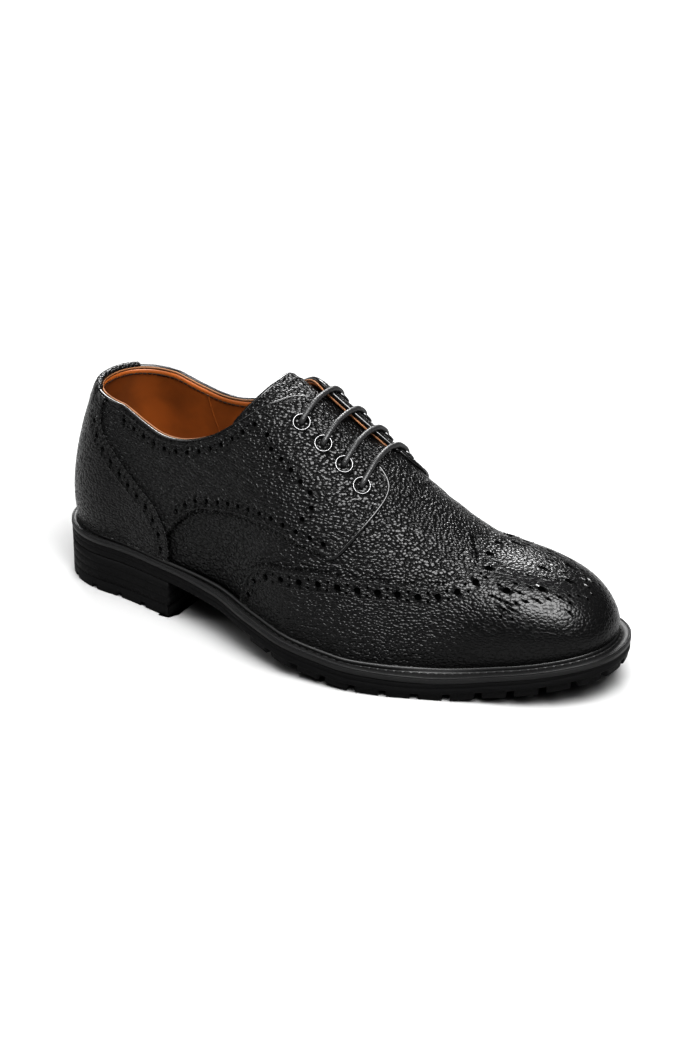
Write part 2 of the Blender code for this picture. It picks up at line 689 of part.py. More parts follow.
def run_at(station, points, run, side):
    """Distance along the outline to a station on one side."""
    tip = np.argmax(points[:, 0])
    part = slice(0, tip) if side == LATERAL else slice(tip, None)
    found = np.argmin(np.abs(points[part, 0] - station))
    return run[part][found]


def places_on(at, points, normal, run):
    place = np.stack([np.interp(at, run, points[:, i]) for i in range(2)], axis=-1)
    outward = np.stack([np.interp(at, run, normal[:, i]) for i in range(2)], axis=-1)
    return place, outward


def tread_top(x):
    return outsole_bottom(x) + LUG_DEPTH / 3


def tread_bottom(x):
    return np.maximum(outsole_bottom(x) - LUG_DEPTH, 0)


def outsole_top(x):
    return sole_top(x) - WELT_THICK - CLEARANCE


def outsole_bottom(x):
    return outsole_top(x) - OUTSOLE_THICK


def edge_lugs():
    """The lugs round the forefoot's edge, from waist to waist."""
    points, normal, run = outline_run(LUG_INSET)
    first = run_at(LUG_FROM * SOLE_LENGTH, points, run, LATERAL)
    last = run_at(LUG_FROM * SOLE_LENGTH, points, run, MEDIAL)
    lugs = []
    for start in np.arange(first, last - LUG_PITCH, LUG_PITCH):
        at = np.linspace(start, start + LUG_PITCH - LUG_GAP, 3)
        outer, outward = places_on(at, points, normal, run)
        inner = outer - outward * LUG_INWARD
        lugs.append(plate_between("lug", outer, inner, tread_top, tread_bottom, None))
    return lugs


def middle_bars():
    """Plain bars across the middle of the forefoot."""
    points, normal, run = outline_run(LUG_INSET + LUG_INWARD + LUG_GAP)
    tip = np.argmax(points[:, 0])
    bars = []
    for start in np.arange(BARS_FROM * SOLE_LENGTH, BARS_TO * SOLE_LENGTH, LUG_PITCH):
        x = np.linspace(start, start + LUG_PITCH - LUG_GAP, 3)
        lateral = np.interp(x, points[:tip, 0], points[:tip, 1])
        medial = np.interp(x, points[tip:, 0][::-1], points[tip:, 1][::-1])
        sides = np.column_stack([x, lateral]), np.column_stack([x, medial])
        bars.append(plate_between("bar", *sides, tread_top, tread_bottom, None))
    return bars


def build_outsole():
    outsole = bent_plate("outsole", LUG_INSET / 2, outsole_top, outsole_bottom, rubber_black())
    combine(outsole, join_into("tread", edge_lugs() + middle_bars()), "UNION", crossing=True)
    return outsole


def build_heel():
    """The heel's stack under the outsole, and its top piece with notches round the ground edge."""
    bent_plate("heel_stack", LUG_INSET / 2, lambda x: outsole_bottom(x) - CLEARANCE,
               lambda x: LIFT_THICK + CLEARANCE + 0 * x, rubber_black(), tail=HEEL_LENGTH)
    lift = bent_plate("heel_lift", LUG_INSET / 2, lambda x: LIFT_THICK + 0 * x, lambda x: 0 * x,
                      rubber_black(), tail=HEEL_LENGTH)
    points, normal, run = outline_run(LUG_INSET / 2)
    breast = run_at(HEEL_LENGTH, points, run, LATERAL)
    other = run_at(HEEL_LENGTH, points, run, MEDIAL)
    first = np.arange(breast - NOTCH_FROM, 0, -NOTCH_PITCH)
    second = np.arange(other + NOTCH_FROM, run[-1], NOTCH_PITCH)
    notches = []
    for middle in np.concatenate([first, second]):
        at = np.array([middle - NOTCH_WIDTH / 2, middle + NOTCH_WIDTH / 2])
        edge, outward = places_on(at, points, normal, run)
        outer, inner = edge + outward * NOTCH_DEPTH, edge - outward * NOTCH_DEPTH
        notches.append(plate_between("notch", outer, inner, lambda x: NOTCH_HEIGHT + 0 * x,
                                     lambda x: 0 * x - NOTCH_HEIGHT, None))
    combine(lift, join_into("notches", notches), "DIFFERENCE")


def build_insole():
    ring, normal, margin = feather_ring(RING_STEPS)
    edge = ring - normal * (WELT_UNDER + CLEARANCE)
    return plate_between("insole", edge[1:RING_STEPS - 1], edge[RING_STEPS:][::-1],
                         lambda x: sole_top(x) - WELT_THICK + INSOLE_THICK,
                         lambda x: sole_top(x) - WELT_THICK, leather_tan())


# Lacing
def eyelet_frame(place, side):
    """Where an eyelet sits on the quarter's face: its matrix, with Z outwards."""
    station, share = place
    x, q = signed(np.array([station * SOLE_LENGTH]), np.array([share]), side)
    point = on_last(x, q, np.array([OVERLAY_GAP + OVERLAY_WALL]))[0] - (ORIGIN_X, 0, 0)
    normal = Vector(last_normal(x, q)[0])
    turn = normal.to_track_quat("Z", "Y").to_matrix().to_4x4()
    return Matrix.Translation(Vector(point)) @ turn


def eyelet_mesh():
    """The eyelet's closed profile, down its outer side and up its bore."""
    middle = (EYELET_OUTER + EYELET_BORE) / 2
    lowest = -(OVERLAY_WALL + OVERLAY_GAP + UPPER_WALL)
    profile = (
        (middle, CLEARANCE + FLANGE_THICK), (EYELET_OUTER, CLEARANCE), (EYELET_BARREL, CLEARANCE),
        (EYELET_BARREL, lowest), (EYELET_BORE, lowest), (EYELET_BORE, FLANGE_THICK))
    mesh = bpy.data.meshes.new("eyelet")
    count = len(profile)
    edges = [(i, (i + 1) % count) for i in range(count)]
    mesh.from_pydata([(radius, 0, height) for radius, height in profile], edges, [])
    mesh.materials.append(eyelet_metal())
    return mesh


def build_eyelets():
    mesh = eyelet_mesh()
    for side, label in ((LATERAL, "lateral"), (MEDIAL, "medial")):
        for number in range(EYELETS):
            eyelet = bpy.data.objects.new(f"eyelet_{label}_{number + 1}", mesh)
            SHOE.objects.link(eyelet)
            eyelet.matrix_world = eyelet_frame(EYELET_PLACES[number], side)
            turn = eyelet.modifiers.new("turned", "SCREW")
            turn.steps = turn.render_steps = EYELET_STEPS
            turn.use_merge_vertices = True
            turn.merge_threshold = 0.00001
            turn.use_smooth_shade = True


def lacing_holes():
    """The cutter for the eyelets' holes in upper and quarters."""
    holes = []
    reach = (UPPER_WALL + OVERLAY_GAP + OVERLAY_WALL) * 2 + TONGUE_GAP
    for side in (LATERAL, MEDIAL):
        for place in EYELET_PLACES[:EYELETS]:
            shape = bmesh.new()
            radius = EYELET_BARREL + CLEARANCE
            bmesh.ops.create_cone(shape, cap_ends=True, segments=EYELET_STEPS, radius1=radius, radius2=radius,
                                  depth=reach, matrix=eyelet_frame(place, side))
            mesh = bpy.data.meshes.new("hole")
            shape.to_mesh(mesh)
            shape.free()
            hole = bpy.data.objects.new("hole", mesh)
            CUTTERS.objects.link(hole)
            holes.append(hole)
    return join_into("lacing_holes", holes)


def smooth_path(points, count):
    """Points at even parameter steps on a Catmull-Rom curve."""
    points = np.asarray(points)
    padded = np.vstack([2 * points[0] - points[1], points, 2 * points[-1] - points[-2]])
    at = np.linspace(0, len(points) - 1, count)
    i = np.minimum(at.astype(int), len(points) - 2)
    t = (at - i)[:, None]
    a, b, c, d = padded[i], padded[i + 1], padded[i + 2], padded[i + 3]
    return 0.5 * (2 * b + (c - a) * t + (2 * a - 5 * b + 4 * c - d) * t**2
                  + (3 * b - a - 3 * c + d) * t**3)


def lace_points(place):
    """A bar's middle line: out of the outer eyelet, over the gap and into the inner eyelet."""
    shares = np.array([share for share, _ in LACE_PATH])
    heights = np.array([height for _, height in LACE_PATH]) * LACE_RISE
    x = np.full(len(shares), place[0] * SOLE_LENGTH)
    sides = []
    for side in (LATERAL, MEDIAL):
        q = signed(x, place[1] * (1 - shares) + 0 * x, side)[1]
        q = np.where(shares >= 1, 1e-5 * side, q)
        sides.append(on_last(x, q, OVERLAY_GAP + OVERLAY_WALL + heights))
    middle = (sides[0][-1] + sides[1][-1])[None] / 2
    return np.vstack([sides[0][:-1], middle, sides[1][:-1][::-1]])


def build_laces():
    for number in range(EYELETS):
        path = smooth_path(lace_points(EYELET_PLACES[number]), LACE_STEPS) - (ORIGIN_X, 0, 0)
        name = f"lace_bar_{number + 1}"
        curve = bpy.data.curves.new(name, "CURVE")
        curve.dimensions = "3D"
        curve.bevel_depth = LACE_RADIUS
        curve.bevel_resolution = 2
        curve.use_fill_caps = True
        spline = curve.splines.new("POLY")
        spline.points.add(len(path) - 1)
        spline.points.foreach_set("co", np.column_stack([path, np.ones(len(path))]).ravel())
        bar = bpy.data.objects.new(name, curve)
        bar.data.materials.append(lace_cotton())
        SHOE.objects.link(bar)


def build_shoe():
    holes = lacing_holes()
    for leather in (build_upper(), build_quarter(LATERAL), build_quarter(MEDIAL)):
        combine(leather, holes, "DIFFERENCE")
    build_wing_cap()
    build_counter()
    build_tongue()
    build_insole()
    build_welt()
    build_outsole()
    build_heel()
    build_eyelets()
    build_laces()


build_shoe()
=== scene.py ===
"""Looks of the brogue shoe: leather panels with punched rows, lining, stitching, welt, lugged
sole, eyelets and lace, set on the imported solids. Metres, in the solids' own frame.

The run of the last, the form the whole upper is cut on, is worked out here again from the same
sizes as in the solids. A place on it is a station x along the foot and a girth q, the distance
to the side of the ridge on the flattened plan.
"""

import math

import bpy
import numpy as np
from bpy.props import FloatProperty, FloatVectorProperty, PointerProperty
from mathutils import Matrix, Vector
from mathutils.geometry import delaunay_2d_cdt


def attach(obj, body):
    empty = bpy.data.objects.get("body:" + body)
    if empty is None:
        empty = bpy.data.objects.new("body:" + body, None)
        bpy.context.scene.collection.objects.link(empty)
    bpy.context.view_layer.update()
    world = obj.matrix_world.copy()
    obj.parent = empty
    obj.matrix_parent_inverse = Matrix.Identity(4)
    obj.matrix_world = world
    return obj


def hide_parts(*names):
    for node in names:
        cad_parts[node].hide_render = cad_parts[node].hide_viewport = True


bl_info = {
    "name": "Brogue Shoe Looks",
    "version": (1, 0, 0),
    "blender": (4, 5, 0),
    "location": "View3D > Sidebar > Brogue Shoe",
    "description": "Leather, stitching, lining, sole and lace of a wing-tip brogue shoe",
    "category": "Object",
}

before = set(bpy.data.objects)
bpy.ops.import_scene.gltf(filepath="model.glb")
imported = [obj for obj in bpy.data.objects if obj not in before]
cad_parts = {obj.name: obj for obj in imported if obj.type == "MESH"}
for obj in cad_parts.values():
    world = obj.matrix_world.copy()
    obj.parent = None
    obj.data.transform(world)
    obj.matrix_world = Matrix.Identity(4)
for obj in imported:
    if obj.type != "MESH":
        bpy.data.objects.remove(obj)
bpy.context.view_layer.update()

# Sizes of the last, the welt, the sole and the heel, as in the solids
SOLE_LENGTH, LAST_LENGTH, BALL_WIDTH, CROWN_HEIGHT = 0.304, 0.2885, 0.094, 0.110
TOE_ROUND, HEEL_ROUND, PLAN_POWER = 0.055, 0.033, 2.2
SIDE_BULGE, BULGE_AT, TOE_SWING, BACK_LEAN = 0.0025, 0.22, 0.011, 0.0135
HEEL_RISE, BALL_RISE, TOE_RISE = 0.0292, 0.0124, 0.0265
WELT_MARGIN, WELT_THICK, OUTSOLE_THICK, LUG_DEPTH = 0.0085, 0.0030, 0.0061, 0.0034
HEEL_LENGTH, LIFT_THICK, CLEARANCE = 0.078, 0.0060, 0.0003
# Each section: its station and half widths, crown, corner fullness, and shares of the rest
LAST_COLUMNS = ("station", "lateral", "medial", "crown", "fullness", "bulge", "swing", "lean",
                "margin_lateral", "margin_medial")
LAST_SECTIONS = (
    (0.016, 0.282, 0.293, 0.945, 2.45, 1.00, 0.00, 1.00, 0.82, 0.82),
    (0.125, 0.293, 0.303, 0.973, 2.40, 1.00, 0.00, 0.74, 0.58, 0.58),
    (0.247, 0.362, 0.324, 1.000, 2.25, 0.60, 0.00, 0.22, 0.43, 0.43),
    (0.362, 0.420, 0.330, 1.005, 2.15, 0.40, 0.00, 0.00, 0.64, 0.45),
    (0.454, 0.516, 0.346, 0.936, 2.10, 0.40, 0.00, 0.00, 0.71, 0.46),
    (0.533, 0.574, 0.383, 0.845, 2.00, 0.40, 0.05, 0.00, 0.71, 0.50),
    (0.609, 0.569, 0.426, 0.736, 1.85, 0.40, 0.18, 0.00, 0.76, 0.57),
    (0.674, 0.521, 0.457, 0.605, 1.90, 0.40, 0.36, 0.00, 0.95, 0.66),
    (0.757, 0.420, 0.473, 0.450, 2.20, 0.40, 0.55, 0.00, 1.10, 0.84),
    (0.839, 0.351, 0.452, 0.368, 2.45, 0.60, 0.73, 0.00, 1.02, 0.98),
    (0.921, 0.324, 0.394, 0.314, 2.55, 0.60, 0.91, 0.00, 1.00, 1.00),
    (0.977, 0.314, 0.378, 0.259, 2.60, 0.60, 1.00, 0.00, 1.00, 1.00),
)
# Station, and shares of the heel's and the toe's rise over the ball's
RISE_SECTIONS = (
    (0.00, 1.00, 0.00), (0.20, 1.00, 0.00), (0.27, 0.98, 0.00), (0.36, 0.88, 0.00),
    (0.46, 0.61, 0.00), (0.56, 0.27, 0.00), (0.66, 0.05, 0.00), (0.74, 0.00, 0.00),
    (0.86, 0.00, 0.35), (1.00, 0.00, 1.00))

# Lines drawn on the last: station as a share of the sole's length, and share of the girth.
COLLAR = ((0.132, 0.560), (0.156, 0.577), (0.180, 0.593), (0.227, 0.614), (0.271, 0.609),
          (0.312, 0.580), (0.351, 0.529), (0.385, 0.450), (0.413, 0.350), (0.437, 0.245),
          (0.455, 0.160), (0.472, 0.104))
FACING = ((0.472, 0.104), (0.500, 0.096), (0.543, 0.102), (0.572, 0.114), (0.597, 0.128))
FACING_FRONT = ((0.597, 0.128), (0.613, 0.148), (0.623, 0.185), (0.626, 0.255), (0.622, 0.350),
                (0.613, 0.453), (0.600, 0.557), (0.588, 0.622), (0.576, 0.648))
QUARTER_HEM = ((0.252, 0.930), (0.260, 0.906), (0.279, 0.862), (0.299, 0.828), (0.324, 0.797),
               (0.367, 0.773), (0.414, 0.738), (0.458, 0.704), (0.499, 0.683), (0.535, 0.664),
               (0.576, 0.648))
COUNTER_EDGE = ((0.109, 0.526), (0.107, 0.560), (0.108, 0.611), (0.121, 0.682), (0.143, 0.728),
                (0.192, 0.789), (0.228, 0.831), (0.250, 0.882), (0.259, 0.925), (0.260, 0.985))
WING_EDGE = ((0.738, 0.000), (0.756, 0.100), (0.773, 0.205), (0.774, 0.322), (0.759, 0.416),
             (0.728, 0.509), (0.674, 0.587), (0.618, 0.660), (0.557, 0.725), (0.497, 0.787),
             (0.465, 0.823), (0.443, 0.862), (0.428, 0.915), (0.418, 0.985))
EYELET_PLACES = ((0.480, 0.256), (0.520, 0.256), (0.5575, 0.262), (0.591, 0.283))
FACING_ROW = ((0.432, 0.395), (0.450, 0.445), (0.479, 0.448), (0.504, 0.458), (0.531, 0.470),
              (0.537, 0.530), (0.520, 0.600))
LINING_SEAM = ((0.196, 0.615), (0.204, 0.680), (0.216, 0.750), (0.232, 0.830), (0.240, 0.900))
LATERAL, MEDIAL = -1.0, 1.0

# Step of the surface's differences, and spacing of the points of a line on it
STEP, LINE_STEP = 0.0003, 0.0012


def smooth_table(stations, values):
    """A monotone cubic through the given values, as a function of the station.

    The slope at a value is the weighted harmonic mean of the slopes beside it, or none where
    they differ in sign, and a cubic with those slopes runs from each value to the next.
    """
    x, y = np.asarray(stations, dtype=float), np.asarray(values, dtype=float)
    step = np.diff(x)
    slope = np.diff(y) / step
    tangent = np.zeros_like(y)
    before, after = slope[:-1], slope[1:]
    heavy, light = 2 * step[1:] + step[:-1], step[1:] + 2 * step[:-1]
    same = before * after > 0
    mean = (heavy + light) / (heavy / np.where(same, before, 1) + light / np.where(same, after, 1))
    tangent[1:-1] = np.where(same, mean, 0)
    tangent[0], tangent[-1] = slope[0], slope[-1]

    def value(at):
        at = np.clip(np.asarray(at, dtype=float), x[0], x[-1])
        i = np.clip(np.searchsorted(x, at) - 1, 0, len(x) - 2)
        t = (at - x[i]) / step[i]
        start = y[i] * (1 + 2 * t) * (1 - t) ** 2 + step[i] * tangent[i] * t * (1 - t) ** 2
        end = y[i + 1] * t**2 * (3 - 2 * t) + step[i] * tangent[i + 1] * t**2 * (t - 1)
        return start + end

    return value


def columns(names, rows, scales):
    """Each column of a table as a smooth function of the station, times its scale."""
    table = np.array(rows)
    x = table[:, 0] * SOLE_LENGTH
    return {name: smooth_table(x, table[:, i] * scales.get(name, 1.0))
            for i, name in enumerate(names) if i > 0}


LAST = columns(LAST_COLUMNS, LAST_SECTIONS, {
    "lateral": BALL_WIDTH, "medial": BALL_WIDTH, "crown": CROWN_HEIGHT, "bulge": SIDE_BULGE,
    "swing": TOE_SWING, "lean": BACK_LEAN, "margin_lateral": WELT_MARGIN,
    "margin_medial": WELT_MARGIN})
RISE = columns(("station", "heel", "toe"), RISE_SECTIONS, {
    "heel": HEEL_RISE - BALL_RISE, "toe": TOE_RISE - BALL_RISE})
LAST_BACK = WELT_MARGIN * LAST_SECTIONS[0][8]
LAST_TIP = LAST_BACK + LAST_LENGTH
HEEL_CENTRE, TOE_CENTRE = LAST_BACK + HEEL_ROUND, LAST_TIP - TOE_ROUND
ORIGIN = np.array((HEEL_LENGTH / 2, 0.0, 0.0))


def sole_top(x):
    """The sole's top: the ball's height, and the heel's and the toe's share of their rise."""
    return BALL_RISE + RISE["heel"](x) + RISE["toe"](x)


def half_width(x, side):
    """Half the plan's width on the outer side where `side` is negative, else on the inner."""
    return np.where(side < 0, LAST["lateral"](x), LAST["medial"](x))


def round_share(x):
    """How far a station is into a rounded end: 0 between the ends, 1 at the back and the tip."""
    return np.maximum(0, x - TOE_CENTRE) / TOE_ROUND + np.maximum(0, HEEL_CENTRE - x) / HEEL_ROUND


def last_surface(plan):
    """The last's points for plan places (x, q).

    The girth share g is the power mean of |q| over the half width and the run into the rounded
    ends. It turns a quarter circle from ridge to feather line. Sine and cosine, made a
    superellipse by the section's fullness, carry the point out and up.
    """
    x, q = plan[..., 0], plan[..., 1]
    width = half_width(x, q)
    centre = np.clip(x, HEEL_CENTRE, TOE_CENTRE)
    share = ((np.abs(q) / width) ** PLAN_POWER + round_share(x) ** PLAN_POWER) ** (1 / PLAN_POWER)
    share = np.maximum(share, 1e-6)
    turn = np.minimum(share, 1.0) * math.pi / 2
    fullness = LAST["fullness"](x)
    sine, cosine = np.sin(turn), np.maximum(np.cos(turn), 0)
    size = (sine**fullness + cosine**fullness) ** (1 / fullness)
    out, up = sine / size, cosine / size
    plan_x = centre + (x - centre) * out / share
    swell = LAST["bulge"](plan_x) * (up / BULGE_AT) * np.exp(1 - up / BULGE_AT)
    away_x = (x - centre) / np.where(x > centre, TOE_ROUND, HEEL_ROUND)
    away_y = q / width
    away = np.maximum(np.hypot(away_x, away_y), 1e-9)
    px = plan_x + swell * away_x / away + LAST["lean"](plan_x) * up**2
    py = LAST["swing"](plan_x) + q * out / share + swell * away_y / away
    pz = sole_top(plan_x) + CLEARANCE + LAST["crown"](plan_x) * up
    return np.stack([px, py, pz], axis=-1) - ORIGIN


def unit(vectors):
    """Vectors divided by their lengths."""
    return vectors / np.maximum(np.linalg.norm(vectors, axis=-1, keepdims=True), 1e-12)


def surface_frame(plan):
    """The surface's rates along x and q, and its unit normal.

    A rate is the difference of the points a step ahead and a step behind, over both steps. The
    normal is the rates' cross product.
    """
    ahead, aside = np.array((STEP, 0.0)), np.array((0.0, STEP))
    along = (last_surface(plan + ahead) - last_surface(plan - ahead)) / (2 * STEP)
    across = (last_surface(plan + aside) - last_surface(plan - aside)) / (2 * STEP)
    return along, across, unit(np.cross(along, across))


def lifted(plan, offset):
    """Points of the last moved out along its normal. The offset is a number or a function."""
    height = offset(plan) if callable(offset) else np.full(plan.shape[:-1], offset)
    return last_surface(plan) + surface_frame(plan)[2] * height[..., None]


def lifted_normal(plan, offset):
    """The lifted surface's unit normal, the cross product of its own differences."""
    ahead, aside = np.array((STEP, 0.0)), np.array((0.0, STEP))
    along = lifted(plan + ahead, offset) - lifted(plan - ahead, offset)
    across = lifted(plan + aside, offset) - lifted(plan - aside, offset)
    return unit(np.cross(along, across))


def plan_move(plan, move):
    """The step in plan that makes a given move along the surface.

    The move's products with the two rates are the metric's two equations, solved in closed form.
    """
    along, across, _ = surface_frame(plan)
    a, b, c = (along * along).sum(-1), (along * across).sum(-1), (across * across).sum(-1)
    u, v = (along * move).sum(-1), (across * move).sum(-1)
    det = a * c - b * b
    return np.stack([(c * u - b * v) / det, (a * v - b * u) / det], axis=-1)


# Lines on the last
def run_along(points):
    """The length run along a row of points, at each of them."""
    return np.concatenate([[0], np.cumsum(np.linalg.norm(np.diff(points, axis=0), axis=-1))])


def sampled(line, run, at):
    """The line's points where its run reaches the given lengths, by straight parts."""
    return np.stack([np.interp(at, run, column) for column in line.T], axis=-1)


def drawn(points, side, count=300):
    """A smooth plan line through drawn stations and girth shares, on one side of the ridge.

    Between two points it is a cubic whose slopes are the chords over their neighbours. The
    share is then taken of the half width at each station.
    """
    places = np.array(points) * (SOLE_LENGTH, BALL_WIDTH / 2)
    run = run_along(places)
    padded = np.vstack([2 * places[0] - places[1], places, 2 * places[-1] - places[-2]])
    before = np.diff(run, prepend=-run[1])
    after = np.diff(run, append=2 * run[-1] - run[-2])
    slope = (padded[2:] - padded[:-2]) / (before + after)[:, None]
    at = np.linspace(0, run[-1], count)
    i = np.clip(np.searchsorted(run, at) - 1, 0, len(run) - 2)
    step = (run[i + 1] - run[i])[:, None]
    t = (at - run[i])[:, None] / step
    place = (places[i] * (1 + 2 * t) * (1 - t) ** 2 + step * slope[i] * t * (1 - t) ** 2
             + places[i + 1] * t**2 * (3 - 2 * t) + step * slope[i + 1] * t**2 * (t - 1))
    share = np.abs(place[:, 1]) / (BALL_WIDTH / 2)
    return np.stack([place[:, 0], side * share * half_width(place[:, 0], side)], axis=-1)


def even(line, pitch=LINE_STEP):
    """The line cut at even lengths over the surface, near the pitch."""
    run = run_along(last_surface(line))
    count = max(2, int(round(run[-1] / pitch)) + 1)
    return sampled(line, run, np.linspace(0, run[-1], count))


def leftward(line):
    """The direction to the left of a line seen from outside: the normal across the tangent."""
    tangent = unit(np.gradient(last_surface(line), axis=0))
    return np.cross(surface_frame(line)[2], tangent)


def beside(line, distance):
    """The line moved to its left over the surface, in short steps, evened after each."""
    steps = max(1, math.ceil(abs(distance) / LINE_STEP))
    for _ in range(steps):
        line = even(line + plan_move(line, leftward(line) * distance / steps))
    return line


def keep_side(line, side, apart=0.0002):
    """The part of a line that stays on its own side of the ridge, a little apart from it."""
    return line[line[:, 1] * side > apart]


def gimped(line, pitch=0.0026, depth=0.0010):
    """A pinked edge: every other point of the evened line lies `depth` to its left."""
    points = even(line, pitch / 2)
    inner = points + plan_move(points, leftward(points) * depth)
    return np.where((np.arange(len(points)) % 2)[:, None] == 1, inner, points)


def outline(count):
    """The plan's edge from back to tip: stations, and the share of the half width there.

    Stations follow a cosine, so that they crowd at both ends. The share is what the power mean
    of last_surface leaves beside the run into the rounded end.
    """
    x = (LAST_BACK + LAST_TIP) / 2 - LAST_LENGTH / 2 * np.cos(np.linspace(0, math.pi, count))
    return x, np.maximum(1 - round_share(x) ** PLAN_POWER, 0) ** (1 / PLAN_POWER)


def foot_line(start, toe, side, height=0.0012):
    """The overlay's foot on one side, from a station round to the toe or the back.

    It runs a little over the feather line, at the turn where the section's superellipse has
    that height.
    """
    x, share = outline(1200)
    used = x >= start if toe else x <= start
    x, share = x[used], share[used]
    if not toe:
        x, share = x[::-1], share[::-1]
    up = height / LAST["crown"](x)
    fullness = LAST["fullness"](x)
    level = np.arctan2((1 - up**fullness) ** (1 / fullness), up) * 2 / math.pi
    centre = np.clip(x, HEEL_CENTRE, TOE_CENTRE)
    across = side * share * level * half_width(x, side)
    return even(np.stack([centre + (x - centre) * level, across], axis=-1))


def rings(centres, radius, count=10, stretch=1.0):
    """Small closed loops round plan places, round on the surface.

    Each point is the radius times the cosine of its turn along the foot, stretched there if
    asked, and times the sine across it, brought back to plan.
    """
    centres = np.atleast_2d(centres)
    along, _, normal = surface_frame(centres)
    first = unit(along)
    second = np.cross(normal, first)
    turn = np.linspace(0, 2 * math.pi, count, endpoint=False)
    move = radius * (np.cos(turn)[None, :, None] * first[:, None] * stretch
                     + np.sin(turn)[None, :, None] * second[:, None])
    grid = np.repeat(centres[:, None], count, axis=1)
    return grid + plan_move(grid, move)


# Meshes
def object_of(name, points, faces, material, slot=None):
    """An object at the origin with its place in its mesh, riding on the shoe's one body."""
    mesh = bpy.data.meshes.new(name)
    mesh.from_pydata(np.asarray(points).tolist(), [], [list(face) for face in faces])
    mesh.materials.append(material)
    mesh.shade_smooth()
    piece = bpy.data.objects.new(name, mesh)
    bpy.context.scene.collection.objects.link(piece)
    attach(piece, "root")
    return piece


def grid_quads(rows, cols, around=False, across=False):
    """Quads of a grid of points, closed on itself in either direction if asked.

    A quad takes a point, the next down, the next down and across, and the next across.
    """
    index = np.arange(rows * cols).reshape(rows, cols)
    if around:
        index = np.vstack([index, index[:1]])
    if across:
        index = np.hstack([index, index[:, :1]])
    return np.stack([index[:-1, :-1], index[1:, :-1], index[1:, 1:], index[:-1, 1:]],
                    axis=-1).reshape(-1, 4)


def end_rings(rows, cols):
    """The first and the last ring of a closed tube as two faces that look outwards."""
    return [list(range(cols)), list(range(rows * cols - 1, (rows - 1) * cols - 1, -1))]


def edge_strips(rows, cols):
    """Quads that close a flat tube at both ends, from its lower half ring to its upper one."""
    faces = []
    for row in (0, rows - 1):
        index = np.arange(2 * cols) + row * 2 * cols
        low, high = index[:cols], index[::-1][:cols]
        strip = np.stack([low[:-1], low[1:], high[1:], high[:-1]], axis=-1)
        faces += (strip if row else strip[:, ::-1]).tolist()
    return faces


def inside(points, loop):
    """Which plan points lie in a closed loop, by counting the edges to one side."""
    x, y = points[:, 0], points[:, 1]
    result = np.zeros(len(points), dtype=bool)
    for (ax, ay), (bx, by) in zip(loop, np.roll(loop, -1, axis=0)):
        if ay == by:
            continue
        crossing = (ay > y) != (by > y)
        result ^= crossing & (x < (bx - ax) * (y - ay) / (by - ay) + ax)
    return result


def clear_of(points, edge, gap):
    """Which points stay a gap away from all the edge's points, a batch of them at a time."""
    keep, batch = np.ones(len(points), dtype=bool), 1500
    for part in np.array_split(np.arange(len(points)), max(1, len(points) // batch)):
        apart = ((points[part, None] - edge[None]) ** 2).sum(-1).min(axis=1)
        keep[part] = apart > gap**2
    return keep


# Scale of the plan while a panel is meshed, and in that scale the spacing of its points and the
# distance of its guard points from an edge. The dip of a cut rim is in metres.
PLAN_SCALE = np.array((1000.0, 2200.0))
PLAN_SPACING, GUARD_APART, RIM_DIP = 1.9, 0.32, 0.00010


def guard_points(scaled):
    """Points a little way in from every edge, so that the dip of a cut edge stays narrow.

    Round a hole they are its ring scaled up about its middle, and inside the outer loop they
    are its points moved along the loop's inward normal.
    """
    loop = scaled[0]
    after = np.roll(loop, -1, axis=0)
    turned = np.sign(np.sum(loop[:, 0] * after[:, 1] - after[:, 0] * loop[:, 1]))
    along = np.roll(loop, -2, axis=0) - np.roll(loop, 2, axis=0)
    inward = unit(np.stack([-along[:, 1], along[:, 0]], axis=-1)) * turned
    found = loop + inward * GUARD_APART * 2
    found = [found[inside(found, loop)]]
    for ring in scaled[1:]:
        middle = ring.mean(0)
        reach = np.linalg.norm(ring - middle, axis=1, keepdims=True)
        found.append(middle + (ring - middle) * (1 + GUARD_APART / reach))
    found = np.vstack(found)
    return found[clear_of(found, np.vstack(scaled), GUARD_APART * 0.6)]


def lattice_points(scaled):
    """Points inside a plan shape: a triangle lattice clear of its edges, and its guard points.

    Every other row is shifted by half the spacing, and rows lie the height of a triangle apart.
    """
    edge = np.vstack(scaled)
    lowest, highest = scaled[0].min(0), scaled[0].max(0)
    across = np.arange(lowest[0], highest[0], PLAN_SPACING)
    upward = np.arange(lowest[1], highest[1], PLAN_SPACING * 0.866)
    grid_x, grid_y = np.meshgrid(across, upward)
    grid_x[1::2] += PLAN_SPACING / 2
    inner = np.stack([grid_x.ravel(), grid_y.ravel()], axis=-1)
    inner = inner[inside(inner, scaled[0])]
    inner = inner[clear_of(inner, edge, PLAN_SPACING * 0.45)]
    guard = guard_points(scaled)
    inner = np.vstack([inner[clear_of(inner, guard, PLAN_SPACING * 0.3)], guard])
    for ring in scaled[1:]:
        middle = ring.mean(0)
        reach = np.linalg.norm(ring - middle, axis=1).max()
        inner = inner[np.linalg.norm(inner - middle, axis=1) >= reach]
    return inner


